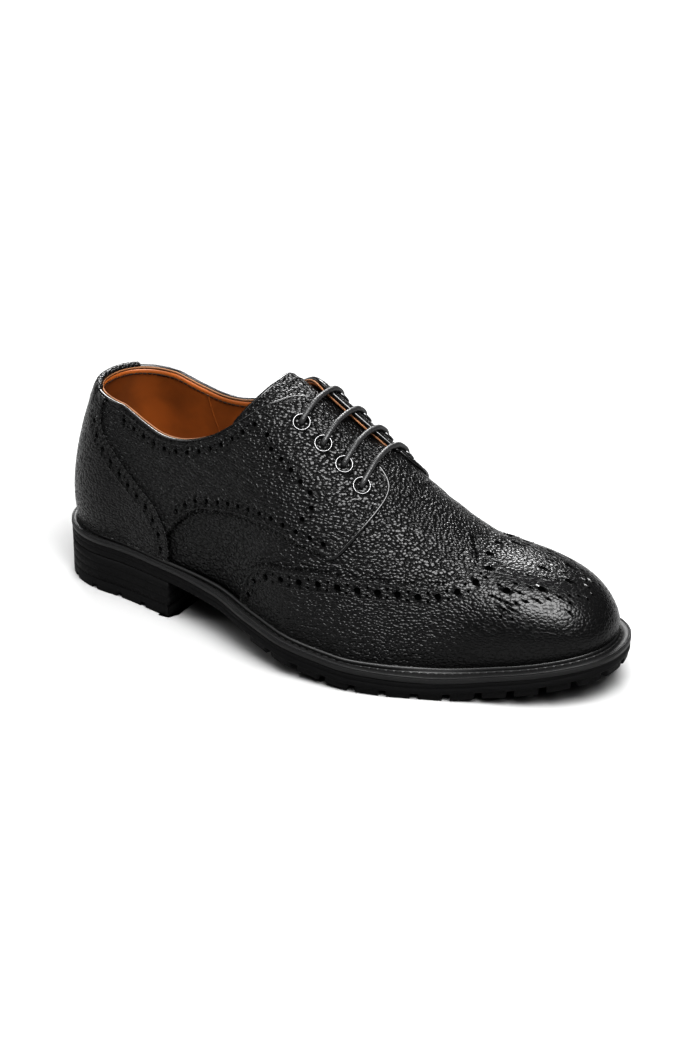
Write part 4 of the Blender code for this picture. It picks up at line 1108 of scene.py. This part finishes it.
def feather(count, inset=None, margin_share=1.0):
    """The feather line or the sole's edge as a closed loop in plan, with outward normals.

    The edge is the feather line moved out by the welt's margin, less an inset.
    """
    half_x, half_share = outline(count)
    lateral = np.stack([half_x, -half_share * half_width(half_x, LATERAL)], axis=-1)
    medial = np.stack([half_x, half_share * half_width(half_x, MEDIAL)], axis=-1)[1:-1][::-1]
    ring = np.vstack([lateral, medial])
    ring[:, 1] += LAST["swing"](ring[:, 0])
    low = np.arange(len(ring)) < count
    margin = np.where(low, LAST["margin_lateral"](ring[:, 0]), LAST["margin_medial"](ring[:, 0]))
    along = np.roll(ring, -1, axis=0) - np.roll(ring, 1, axis=0)
    normal = unit(np.stack([along[:, 1], -along[:, 0]], axis=-1))
    if inset is not None:
        ring = ring + normal * (margin * margin_share - inset)[:, None]
    closed = np.vstack([ring, ring[:1]])
    run = run_along(closed)
    at = np.linspace(0, run[-1], 2 * count, endpoint=False)
    ring = sampled(closed, run, at)
    margin = np.interp(at, run, np.append(margin, margin[0]))
    along = np.roll(ring, -2, axis=0) - np.roll(ring, 2, axis=0)
    return ring, unit(np.stack([along[:, 1], -along[:, 0]], axis=-1)), margin


def carried(ring, normal, margin, section):
    """A profile carried round a loop: (offset, share of the margin, height over the sole's top)."""
    rows = []
    for offset, share, height in section:
        plan = ring + normal * (margin * share + offset)[:, None]
        rows.append(np.column_stack([plan, sole_top(ring[:, 0]) + height]))
    points = np.stack(rows, axis=1) - ORIGIN
    return points.reshape(-1, 3), grid_quads(len(ring), len(section), around=True, across=True)


def build_welt():
    """The welt: bevelled edge, a groove with its stitches, and a raised bead by the upper."""
    ring, normal, margin = feather(320)
    section = (
        (-0.0035, 0, -WELT_THICK), (0, 1, -WELT_THICK), (0.0001, 1, -WELT_THICK * 0.5),
        (0, 1, -0.0009), (-0.0003, 1, -0.0004), (-0.0010, 1, 0.0), (-0.0016, 1, 0.0001),
        (0.0013, 0.42, 0.0), (0.0010, 0.40, -0.0006), (0.0003, 0.36, -0.0006), (0.0, 0.34, 0.0),
        (0.0030, 0, 0.0002), (0.0028, 0, 0.0012), (0.0024, 0, 0.0017), (0.0018, 0, 0.0018),
        (0.0013, 0, 0.0014), (0.0011, 0, 0.0002), (-0.0035, 0, 0.0))
    points, faces = carried(ring, normal, margin, section)
    welt = object_of("welt_band", points, faces, MATERIALS["welt"], "welt_leather")
    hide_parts("welt")
    plan = ring + normal * (margin - 0.0005)[:, None]
    corner = np.column_stack([plan, sole_top(ring[:, 0]) - 0.00035]) - ORIGIN
    corner = np.vstack([corner, corner[:1]])
    object_of("welt_bevel", *swept(corner, 0.00052, np.tile(UPWARD, (len(corner), 1)), ends=False),
              MATERIALS["polish"], "welt_leather")
    plan = ring + normal * (margin * 0.38 + 0.0006)[:, None]
    middle = np.column_stack([plan, sole_top(ring[:, 0]) - 0.0003]) - ORIGIN
    closed = np.vstack([middle, middle[:1]])
    run = run_along(closed)
    pitch, length, radius = 0.0040, 0.0031, 0.00045 * np.array((0.4, 0.9, 1.0, 0.9, 0.4))
    parts, steps = [], np.linspace(0, length, len(radius))
    for start in np.linspace(0, run[-1], int(run[-1] / pitch), endpoint=False):
        path = sampled(closed, run, (start + steps) % run[-1])
        parts.append(swept(path, radius, np.tile(UPWARD, (len(path), 1)), 6))
    object_of("welt_stitches", *joined(parts), MATERIALS["thread"], "welt_leather")


def outsole_top(x):
    """The outsole's top: the sole's top less the welt and a clearance."""
    return sole_top(x) - WELT_THICK - CLEARANCE


def outsole_bottom(x):
    """The outsole's underside, its thickness below its top."""
    return outsole_top(x) - OUTSOLE_THICK


def open_profile(ring, normal, heights, insets):
    """Loops at falling heights, each drawn in by its inset, joined by walls."""
    rows = []
    for height, inset in zip(heights, insets):
        plan = ring - normal * np.asarray(inset + np.zeros(len(ring)))[:, None]
        rows.append(np.column_stack([plan, height + np.zeros(len(ring))]))
    points = np.stack(rows, axis=1) - ORIGIN
    return points.reshape(-1, 3), grid_quads(len(ring), len(heights), around=True)


def cross_strips(ring_count, offset, stride, loop):
    """Faces that fill a sole-shaped loop with strips from side to side."""
    half = ring_count // 2
    index = np.arange(ring_count) * stride + offset
    near, far = index[: half + 1], np.concatenate([index[:1], index[half:][::-1]])
    count = min(len(near), len(far))
    near, far = near[:count], far[:count]
    strips = np.stack([near[:-1], near[1:], far[1:], far[:-1]], axis=-1)
    faces = []
    for strip in strips.tolist():
        corners = list(dict.fromkeys(strip))
        if len(corners) > 2:
            faces.append(corners if loop else corners[::-1])
    return faces


def sole_block(ring, normal, heights, insets):
    """A block in the sole's outline with a rounded wall, closed above and below."""
    points, faces = open_profile(ring, normal, heights, insets)
    cols, faces = len(heights), faces.tolist()
    faces += cross_strips(len(ring), 0, cols, True)
    faces += cross_strips(len(ring), cols - 1, cols, False)
    return points, faces


def lug(outer, inner, top, bottom, draft=0.0005):
    """One lug between an outer and an inner line, drawn in towards its middle at its foot."""
    middle = (outer.mean(0) + inner.mean(0)) / 2
    rows = []
    for share, height in ((0.0, top), (0.75, bottom), (1.0, bottom)):
        loop = np.vstack([outer, inner[::-1]])
        pull = unit(middle - loop) * draft * (share + (0.5 if share == 1.0 else 0.0))
        place = loop + pull
        level = height(place[:, 0]) + (0.0006 if share == 0.75 else 0.0)
        rows.append(np.column_stack([place, level]))
    points = np.stack(rows, axis=0) - ORIGIN
    count = points.shape[1]
    faces = grid_quads(len(points), count, across=True)[:, ::-1].tolist()
    return points.reshape(-1, 3), faces + end_rings(len(points), count)


def outline_places(inset):
    """The sole's edge less an inset, from its rearmost point on: places, normals and run."""
    ring, normal, _ = feather(600, inset)
    start = np.argmin(ring[:, 0])
    ring, normal = np.roll(ring, -start, axis=0), np.roll(normal, -start, axis=0)
    return ring, normal, run_along(ring)


def run_at(station, ring, run, side):
    """The run at which one side of the sole's edge passes nearest a station."""
    tip = np.argmax(ring[:, 0])
    part = slice(0, tip) if side == LATERAL else slice(tip, None)
    return run[part][np.argmin(np.abs(ring[part, 0] - station))]


LUG_PITCH, LUG_GAP, LUG_INWARD, LUG_FROM = 0.0152, 0.0034, 0.015, 0.450
BARS_FROM, BARS_TO = 0.560, 0.860


def build_outsole():
    """The outsole: a ribbed band with a rounded edge, lugs round the forefoot, and bars."""
    ring, normal, _ = feather(320, 0.0002)
    x = ring[:, 0]
    top, bottom = outsole_top(x), outsole_bottom(x)
    heights = (top, top - 0.0003, top - 0.0022, top - 0.0026, top - 0.0030, bottom + 0.0008,
               bottom + 0.0002, bottom)
    insets = (0.0004, 0.0, 0.0, 0.00030, 0.0, 0.0, 0.0003, 0.0008)
    band = object_of("outsole_band", *sole_block(ring, normal, heights, insets),
                     MATERIALS["side"], "sole_rubber")
    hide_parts("outsole")
    ring, normal, run = outline_places(0.0008)
    first, last = (run_at(LUG_FROM * SOLE_LENGTH, ring, run, side) for side in (LATERAL, MEDIAL))

    def lug_top(x):
        return outsole_bottom(x) + 0.0012

    def lug_bottom(x):
        return np.maximum(outsole_bottom(x) - LUG_DEPTH, 0)

    parts = []
    for start in np.arange(first, last - LUG_PITCH, LUG_PITCH):
        at = np.linspace(start, start + LUG_PITCH - LUG_GAP, 7)
        outer, outward = sampled(ring, run, at), sampled(normal, run, at)
        parts.append(lug(outer, outer - outward * LUG_INWARD, lug_top, lug_bottom))
    inner, _, _ = outline_places(0.0008 + LUG_INWARD + LUG_GAP)
    tip = np.argmax(inner[:, 0])
    for start in np.arange(BARS_FROM * SOLE_LENGTH, BARS_TO * SOLE_LENGTH, LUG_PITCH):
        at = np.linspace(start, start + LUG_PITCH - LUG_GAP, 4)
        near = np.column_stack([at, np.interp(at, inner[:tip, 0], inner[:tip, 1])])
        far = np.column_stack([at, np.interp(at, inner[tip:, 0][::-1], inner[tip:, 1][::-1])])
        parts.append(lug(near, far, lug_top, lug_bottom))
    object_of("outsole_lugs", *joined(parts), MATERIALS["tread"], "sole_rubber")


def heel_ring(inset, back, front):
    """The heel's outline: the sole's edge behind the breast, and the breast across."""
    ring, _, run = outline_places(inset)
    near, far = (run_at(HEEL_LENGTH, ring, run, side) for side in (LATERAL, MEDIAL))
    lateral = np.linspace(0, near, back // 2)
    medial = np.linspace(far, run[-1], back // 2)
    line = np.concatenate([medial, lateral[1:]])
    edge = sampled(ring, run, line)
    edge[[0, -1], 0] = HEEL_LENGTH
    breast = np.linspace(edge[-1], edge[0], front + 2)[1:-1]
    loop = np.vstack([edge, breast])
    along = np.roll(loop, -1, axis=0) - np.roll(loop, 1, axis=0)
    return loop, unit(np.stack([along[:, 1], -along[:, 0]], axis=-1)), run_along(edge)


def fan_caps(count, cols):
    """Flat faces over the first and last loops of a carried profile."""
    index = np.arange(count * cols).reshape(count, cols)
    return [index[::-1, 0].tolist(), index[:, -1].tolist()]


def build_heel():
    """The heel's stack with the lines of its layers, and the top piece with its notches."""
    loop, normal, _ = heel_ring(0.0003, 200, 24)
    top = outsole_bottom(loop[:, 0]) - CLEARANCE
    low = LIFT_THICK + CLEARANCE
    heights, insets = [top], [0.0]
    for share in (0.33, 0.66):
        level = top * (1 - share) + low * share
        heights += [level + 0.00025, level, level - 0.00025]
        insets += [0.0, 0.00022, 0.0]
    points, faces = open_profile(loop, normal, [*heights, low], [*insets, 0.0])
    faces = faces.tolist() + fan_caps(len(loop), len(heights) + 1)
    stack = object_of("heel_block", points, faces, MATERIALS["side"], "sole_rubber")
    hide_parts("heel_stack")

    loop, normal, run = heel_ring(0.0003, 900, 60)
    pitch, width, rise, depth = 0.0163, 0.0034, 0.0024, 0.006
    from_ends = np.minimum(run, run[-1] - run)
    phase = (from_ends - 0.018 + pitch / 2) % pitch - pitch / 2
    cut = (np.abs(phase) < width / 2) & (from_ends > 0.012)
    floor = np.zeros(len(loop))
    floor[: len(run)] = np.where(cut, rise, 0.0)
    heights = (LIFT_THICK, LIFT_THICK - 0.0003, np.maximum(floor, 0.0005), floor, floor, 0.0)
    insets = (0.0003, 0.0, 0.0, np.where(floor > 0, 0.0, 0.0004), depth, depth + 0.0001)
    points, faces = open_profile(loop, normal, heights, insets)
    faces = faces.tolist() + fan_caps(len(loop), len(heights))
    lift = object_of("heel_top_piece", points, faces, MATERIALS["side"], "sole_rubber")
    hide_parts("heel_lift")


def build_sock():
    """The insole, covered with a tan sock that turns up at its edge.

    It rises with the sixth power of the share of the way from its middle line to its edge.
    """
    ring, normal, _ = feather(200, 0.0030, 0.0)
    start = np.argmin(ring[:, 0])
    ring = np.roll(ring, -start, axis=0)
    tip = np.argmax(ring[:, 0])
    rows, cols = 140, 41
    turn = np.linspace(0, math.pi, rows)
    lowest, highest = ring[:, 0].min() + 0.0002, ring[:, 0].max() - 0.0002
    x = (lowest + highest) / 2 - (highest - lowest) / 2 * np.cos(turn)
    near = np.interp(x, ring[:tip, 0], ring[:tip, 1])
    far = np.interp(x, ring[tip:, 0][::-1], ring[tip:, 1][::-1])
    share = np.linspace(-1, 1, cols)
    y = (near + far)[:, None] / 2 + (far - near)[:, None] / 2 * share
    level = sole_top(x) - WELT_THICK + 0.0038
    z = level[:, None] + 0.0022 * np.abs(share) ** 6 + 0.0004
    top = np.stack([np.repeat(x[:, None], cols, axis=1), y, z], axis=-1) - ORIGIN
    under = top - (0, 0, 0.0035)
    skin = np.concatenate([under, top[:, ::-1]], axis=1)
    faces = grid_quads(rows, 2 * cols, across=True).tolist() + edge_strips(rows, cols)
    sock = object_of("sock", skin.reshape(-1, 3), faces, MATERIALS["lining"], "lining_leather")
    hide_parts("insole")


# Lacing
def build_eyelets():
    """Eyelet rings: a rolled flange and a dark flared throat, turned about the hole's axis."""
    profile = np.array((
        (0.0043, 0.0001), (0.0045, 0.0004), (0.0044, 0.0008), (0.0041, 0.0010), (0.0038, 0.0009),
        (0.0035, 0.0005), (0.0033, -0.0002), (0.0031, -0.0010), (0.0029, -0.0032),
        (0.0033, -0.0032), (0.0036, -0.0006), (0.0040, -0.0001)))
    count = 28
    turn = np.linspace(0, 2 * math.pi, count, endpoint=False)
    parts = []
    for plan in np.vstack([eyelet_places(LATERAL), eyelet_places(MEDIAL)])[:, None]:
        along, _, normal = surface_frame(plan)
        centre, first = lifted(plan, OVERLAY_TOP)[0], unit(along)[0]
        second = np.cross(normal[0], first)
        ring = np.cos(turn)[:, None] * first + np.sin(turn)[:, None] * second
        points = centre + ring[:, None] * profile[None, :, :1] + normal[0] * profile[None, :, 1:]
        parts.append((points.reshape(-1, 3),
                      grid_quads(count, len(profile), around=True, across=True).tolist()))
    rings_piece = object_of("eyelet_rings", *joined(parts), MATERIALS["enamel"], "eyelet_enamel")
    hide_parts(*[f"eyelet_{side}_{number}" for side in ("lateral", "medial")
                               for number in (1, 2, 3, 4)])


# Share of the way to the ridge, and height over the quarter
LACE_PATH = ((0.0, -0.0040), (0.0, -0.0012), (0.02, 0.0004), (0.12, 0.0012), (0.30, 0.0013),
             (0.58, 0.0012), (1.00, 0.0004))


def build_laces():
    """Four bars of round lace, out of one eyelet, over the gap, and down into the other.

    Each follows a Catmull-Rom curve through its path's points on both sides.
    """
    parts, radius = [], bpy.context.scene.shoe_lacing.lace_diameter / 2
    for station, share in EYELET_PLACES:
        x = station * SOLE_LENGTH
        halves = []
        for side in (LATERAL, MEDIAL):
            places = np.array([(x, side * share * (1 - to) * float(half_width(x, side)))
                               for to, _ in LACE_PATH])
            places[-1, 1] = 1e-5 * side
            height = OVERLAY_TOP + np.array([rise for _, rise in LACE_PATH])
            halves.append(lifted(places, lambda _: height))
        middle = (halves[0][-1] + halves[1][-1]) / 2
        knots = np.vstack([halves[0][:-1], middle[None], halves[1][:-1][::-1]])
        padded = np.vstack([2 * knots[0] - knots[1], knots, 2 * knots[-1] - knots[-2]])
        at = np.linspace(0, len(knots) - 1, 90)
        i = np.minimum(at.astype(int), len(knots) - 2)
        t = (at - i)[:, None]
        a, b, c, d = padded[i], padded[i + 1], padded[i + 2], padded[i + 3]
        path = 0.5 * (2 * b + (c - a) * t + (2 * a - 5 * b + 4 * c - d) * t**2
                      + (3 * b - a - 3 * c + d) * t**3)
        parts.append(swept(path, radius, np.tile((1.0, 0.0, 0.3), (len(path), 1)), 14))
    laces = object_of("laces", *joined(parts), MATERIALS["lace"], "waxed_lace")
    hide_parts("lace_bar_1", "lace_bar_2", "lace_bar_3", "lace_bar_4")


# Stage
AZIMUTH, ELEVATION, DISTANCE = math.radians(31.58), math.radians(26.17), 1.5
FOCAL_PX, FRAME_HEIGHT, SHIFT = 3070.73, 1050, (-0.0072, -0.01291)
AIM = np.array((0.152, 0.0, 0.040))


def build_camera():
    """The camera at the photograph's angle, its focal length for a frame 1050 high."""
    back = np.array((math.sin(AZIMUTH) * math.cos(ELEVATION),
                     -math.cos(AZIMUTH) * math.cos(ELEVATION), math.sin(ELEVATION)))
    right = np.array((math.cos(AZIMUTH), math.sin(AZIMUTH), 0.0))
    up = np.cross(back, right)
    eye = AIM - SHIFT[0] * right - SHIFT[1] * up + DISTANCE * back - ORIGIN
    data = bpy.data.cameras.new("camera")
    data.sensor_fit = "VERTICAL"
    data.sensor_height = 36.0
    data.lens = data.sensor_height * FOCAL_PX / FRAME_HEIGHT
    data.clip_start = 0.05
    camera = bpy.data.objects.new("camera", data)
    bpy.context.scene.collection.objects.link(camera)
    turn = Matrix(np.column_stack([right, up, back]).tolist()).to_4x4()
    camera.matrix_world = Matrix.Translation(Vector(eye.tolist())) @ turn
    bpy.context.scene.camera = camera


def soft_light(name, place, target, size, power):
    """A soft box at a place, turned to its target."""
    data = bpy.data.lights.new(name, "AREA")
    data.shape = "RECTANGLE"
    data.size, data.size_y = size
    data.energy = power
    light = bpy.data.objects.new(name, data)
    turn = (Vector(place) - Vector(target)).to_track_quat("Z", "Y")
    light.matrix_world = Matrix.Translation(Vector(place)) @ turn.to_matrix().to_4x4()
    bpy.context.scene.collection.objects.link(light)


# Strength of the sky where the camera sees it
BACKDROP = 30.0


def build_stage():
    """A wide pale floor under soft lights.

    Far from the shoe, where the lights no longer reach, the floor glows by its distance from
    the origin, and the sky is pale where it is looked at, so that the backdrop stays even.
    """
    mesh = bpy.data.meshes.new("floor")
    reach = 60.0
    corners = [(x * reach, y * reach, 0) for x, y in ((-1, -1), (1, -1), (1, 1), (-1, 1))]
    mesh.from_pydata(corners, [], [(0, 1, 2, 3)])
    stage = bpy.context.scene.shoe_stage
    material, tree, surface = shader("pale_floor", tuple(stage.floor_colour), 0.9, specular=0.1)
    away = node(tree, "ShaderNodeVectorMath", {
        0: node(tree, "ShaderNodeTexCoord").outputs["Object"]},
        operation="LENGTH").outputs["Value"]
    surface.inputs["Emission Color"].default_value = (1, 1, 1, 1)
    tree.links.new(span(tree, away, 0.9, 2.4, 0.0, 1.0), surface.inputs["Emission Strength"])
    mesh.materials.append(material)
    floor = bpy.data.objects.new("floor", mesh)
    bpy.context.scene.collection.objects.link(floor)
    world = bpy.data.worlds.new("studio")
    world.use_nodes = True
    tree = world.node_tree
    sky = tree.nodes["Background"]
    place = node(tree, "ShaderNodeTexCoord").outputs["Generated"]
    up = node(tree, "ShaderNodeSeparateXYZ", {0: place}).outputs["Z"]
    seen = node(tree, "ShaderNodeLightPath").outputs["Is Camera Ray"]
    strength = node(tree, "ShaderNodeMix", {
        "Factor": seen, "A": span(tree, up, 0.22, 0.85, 0.05, stage.ceiling), "B": BACKDROP},
        data_type="FLOAT").outputs["Result"]
    tree.links.new(strength, sky.inputs["Strength"])
    bpy.context.scene.world = world
    view = bpy.context.scene.view_settings
    view.view_transform, view.gamma = "Standard", stage.contrast
    soft_light("back", (-0.80, 1.35, 1.30), (0.14, 0, 0.05), (1.3, 0.6), stage.back_power)
    soft_light("top", (0.66, -0.48, 1.45), (0.14, 0, 0.05), (1.4, 1.0), stage.top_power)
    soft_light("side", (-1.6, -0.9, 1.5), (0.10, 0, 0.05), (0.5, 0.9), stage.side_power)
    soft_light("front", (1.3, -0.9, 1.3), (0.12, 0, 0.05), (0.3, 0.6), stage.front_power)


# Add-on
def length_setting(name, description, default):
    """A size from 0.1 to 50 mm."""
    return FloatProperty(name=name, description=description, default=default, min=0.0001, max=0.05,
                         unit="LENGTH", precision=5)


def power_setting(name, description, default):
    """A light's power up to 900 W."""
    return FloatProperty(name=name, description=description, default=default, min=0.0, max=900.0,
                         unit="POWER")


def colour_setting(name, description, default):
    """A colour of three parts from 0 to 1."""
    return FloatVectorProperty(name=name, description=description, default=default, size=3,
                               min=0.0, max=1.0, subtype="COLOR")


class ShoeLooks(bpy.types.PropertyGroup):
    """Colours, grain and gloss of the leather, the lining and the eyelets."""

    leather_colour: colour_setting("Leather", "Colour of the upper's leather",
                                   (0.0035, 0.0035, 0.0036))
    lining_colour: colour_setting("Lining", "Colour of the lining and the sock",
                                  (0.19, 0.058, 0.010))
    raw_colour: colour_setting("Raw edge", "Colour of the lining's cut edge", (0.14, 0.065, 0.026))
    eyelet_colour: colour_setting("Eyelets", "Colour of the eyelets' flanges", (0.10, 0.10, 0.101))
    gloss: FloatProperty(name="Roughness", description="Roughness of the leather's raised grain",
                         default=0.22, min=0.05, max=1.0, subtype="FACTOR")
    grain_depth: FloatProperty(name="Grain depth", description="Height of a pebble over its width",
                               default=0.44, min=0.0, max=1.0, subtype="FACTOR")
    quarter_grain: length_setting("Quarter grain", "Pebbles on the quarters and tongue", 0.0019)
    vamp_grain: length_setting("Vamp grain", "Pebbles on the vamp and body", 0.0018)
    cap_grain: length_setting("Cap grain", "Pebbles on the wing cap", 0.0015)
    counter_grain: length_setting("Counter grain", "Pebbles on the counter", 0.0015)


class ShoePunching(bpy.types.PropertyGroup):
    """Sizes and spacing of the punched holes and of the stitches."""

    wing_hole: length_setting("Wing hole", "Across a big hole on the wing cap", 0.0031)
    wing_pitch: length_setting("Wing spacing", "From one big hole to the next on the cap", 0.0095)
    quarter_hole: length_setting("Quarter hole", "Across a big hole on the quarters", 0.0023)
    quarter_pitch: length_setting("Quarter spacing", "Between big holes on the quarters", 0.0072)
    counter_hole: length_setting("Counter hole", "Across a big hole on the counter", 0.0023)
    counter_pitch: length_setting("Counter spacing", "Between big holes on the counter", 0.0074)
    stitch_length: length_setting("Stitch", "Length of one stitch", 0.0021)
    stitch_pitch: length_setting("Stitch spacing", "From one stitch to the next", 0.0026)
    stitch_width: length_setting("Thread", "Thickness of the thread", 0.0006)


class ShoeLacing(bpy.types.PropertyGroup):
    """Sizes of the lace and of the holes it runs through."""

    lace_diameter: length_setting("Lace", "Thickness of the round lace", 0.0028)
    eyelet_hole: length_setting("Eyelet hole", "Across the hole in the leather", 0.0070)


class ShoeStage(bpy.types.PropertyGroup):
    """The floor and the studio lights."""

    floor_colour: colour_setting("Floor", "Colour of the floor", (0.25, 0.25, 0.25))
    contrast: FloatProperty(name="Gamma", default=0.76, min=0.3, max=2.0,
                            description="Gamma of the picture; less gives deeper blacks")
    ceiling: FloatProperty(name="Ceiling", description="Brightness of the soft light from above",
                           default=9.0, min=0.0, max=100.0)
    back_power: power_setting("Back light", "Power of the soft box behind", 85.0)
    top_power: power_setting("Top light", "Power of the soft box overhead", 122.0)
    side_power: power_setting("Side light", "Power of the soft box at the heel", 20.0)
    front_power: power_setting("Front light", "Power of the soft box at the toe", 12.0)


class SHOE_OT_finishes(bpy.types.Operator):
    """Mix the leather, lining, thread, rubber and enamel finishes"""

    bl_idname = "shoe.finishes"
    bl_label = "Finishes"

    def execute(self, context):
        make_finishes(context.scene.shoe_looks)
        return {"FINISHED"}


class SHOE_OT_base(bpy.types.Operator):
    """Make the vamp, the body under the overlays and the lining"""

    bl_idname = "shoe.base"
    bl_label = "Vamp and lining"

    def execute(self, context):
        build_base()
        return {"FINISHED"}


class SHOE_OT_cap(bpy.types.Operator):
    """Make the pinked wing cap with its punched row and medallion"""

    bl_idname = "shoe.cap"
    bl_label = "Wing cap"

    def execute(self, context):
        build_wing_cap()
        return {"FINISHED"}


class SHOE_OT_counter(bpy.types.Operator):
    """Make the heel counter and its strap, folded over the topline"""

    bl_idname = "shoe.counter"
    bl_label = "Counter"

    def execute(self, context):
        build_counter()
        build_strap_fold()
        return {"FINISHED"}


class SHOE_OT_quarters(bpy.types.Operator):
    """Make both quarters with their facings"""

    bl_idname = "shoe.quarters"
    bl_label = "Quarters"

    def execute(self, context):
        build_quarter(LATERAL)
        build_quarter(MEDIAL)
        return {"FINISHED"}


class SHOE_OT_tongue(bpy.types.Operator):
    """Make the tongue and its turned edge"""

    bl_idname = "shoe.tongue"
    bl_label = "Tongue"

    def execute(self, context):
        build_tongue()
        return {"FINISHED"}


class SHOE_OT_edges(bpy.types.Operator):
    """Make the folded edges, the lining's edge and all stitch rows"""

    bl_idname = "shoe.edges"
    bl_label = "Edges and stitches"

    def execute(self, context):
        build_edges()
        build_painted_hole_shade()
        build_stitches()
        return {"FINISHED"}


class SHOE_OT_welt(bpy.types.Operator):
    """Make the welt with its groove, stitches, bead and polished corner"""

    bl_idname = "shoe.welt"
    bl_label = "Welt"

    def execute(self, context):
        build_welt()
        return {"FINISHED"}


class SHOE_OT_sole(bpy.types.Operator):
    """Make the outsole with its lugs and bars"""

    bl_idname = "shoe.sole"
    bl_label = "Outsole"

    def execute(self, context):
        build_outsole()
        return {"FINISHED"}


class SHOE_OT_heel(bpy.types.Operator):
    """Make the heel's stack and its top piece"""

    bl_idname = "shoe.heel"
    bl_label = "Heel"

    def execute(self, context):
        build_heel()
        return {"FINISHED"}


class SHOE_OT_sock(bpy.types.Operator):
    """Make the insole with its tan sock"""

    bl_idname = "shoe.sock"
    bl_label = "Sock"

    def execute(self, context):
        build_sock()
        return {"FINISHED"}


class SHOE_OT_lacing(bpy.types.Operator):
    """Make the eyelet rings and the lace's bars"""

    bl_idname = "shoe.lacing"
    bl_label = "Eyelets and lace"

    def execute(self, context):
        build_eyelets()
        build_laces()
        return {"FINISHED"}


class SHOE_OT_stage(bpy.types.Operator):
    """Set the floor, the soft lights and the camera"""

    bl_idname = "shoe.stage"
    bl_label = "Stage"

    def execute(self, context):
        build_stage()
        build_camera()
        return {"FINISHED"}


SETTINGS = {"shoe_looks": ShoeLooks, "shoe_punching": ShoePunching, "shoe_lacing": ShoeLacing,
            "shoe_stage": ShoeStage}
STEPS = (SHOE_OT_finishes, SHOE_OT_base, SHOE_OT_cap, SHOE_OT_counter, SHOE_OT_quarters,
         SHOE_OT_tongue, SHOE_OT_edges, SHOE_OT_welt, SHOE_OT_sole, SHOE_OT_heel, SHOE_OT_sock,
         SHOE_OT_lacing, SHOE_OT_stage)


class SHOE_PT_sidebar(bpy.types.Panel):
    """The shoe's settings, and a button for each step of its making"""

    bl_idname = "SHOE_PT_sidebar"
    bl_label = "Brogue Shoe"
    bl_space_type = "VIEW_3D"
    bl_region_type = "UI"
    bl_category = "Brogue Shoe"

    def draw(self, context):
        for group, kind in SETTINGS.items():
            box = self.layout.box()
            for setting in kind.__annotations__:
                box.prop(getattr(context.scene, group), setting)
        for step in STEPS:
            self.layout.operator(step.bl_idname)


def register():
    """Adds the classes, and each group of settings to the scene."""
    for kind in (*SETTINGS.values(), *STEPS, SHOE_PT_sidebar):
        bpy.utils.register_class(kind)
    for group, kind in SETTINGS.items():
        setattr(bpy.types.Scene, group, PointerProperty(type=kind))


def unregister():
    """Takes the settings and the classes out again."""
    for group in SETTINGS:
        delattr(bpy.types.Scene, group)
    for kind in (SHOE_PT_sidebar, *reversed(STEPS), *reversed(SETTINGS.values())):
        bpy.utils.unregister_class(kind)


def main():
    """Registers the add-on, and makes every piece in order."""
    register()
    bpy.ops.shoe.finishes()
    bpy.ops.shoe.base()
    bpy.ops.shoe.cap()
    bpy.ops.shoe.counter()
    bpy.ops.shoe.quarters()
    bpy.ops.shoe.tongue()
    bpy.ops.shoe.edges()
    bpy.ops.shoe.welt()
    bpy.ops.shoe.sole()
    bpy.ops.shoe.heel()
    bpy.ops.shoe.sock()
    bpy.ops.shoe.lacing()
    bpy.ops.shoe.stage()


if __name__ == "__main__":
    main()
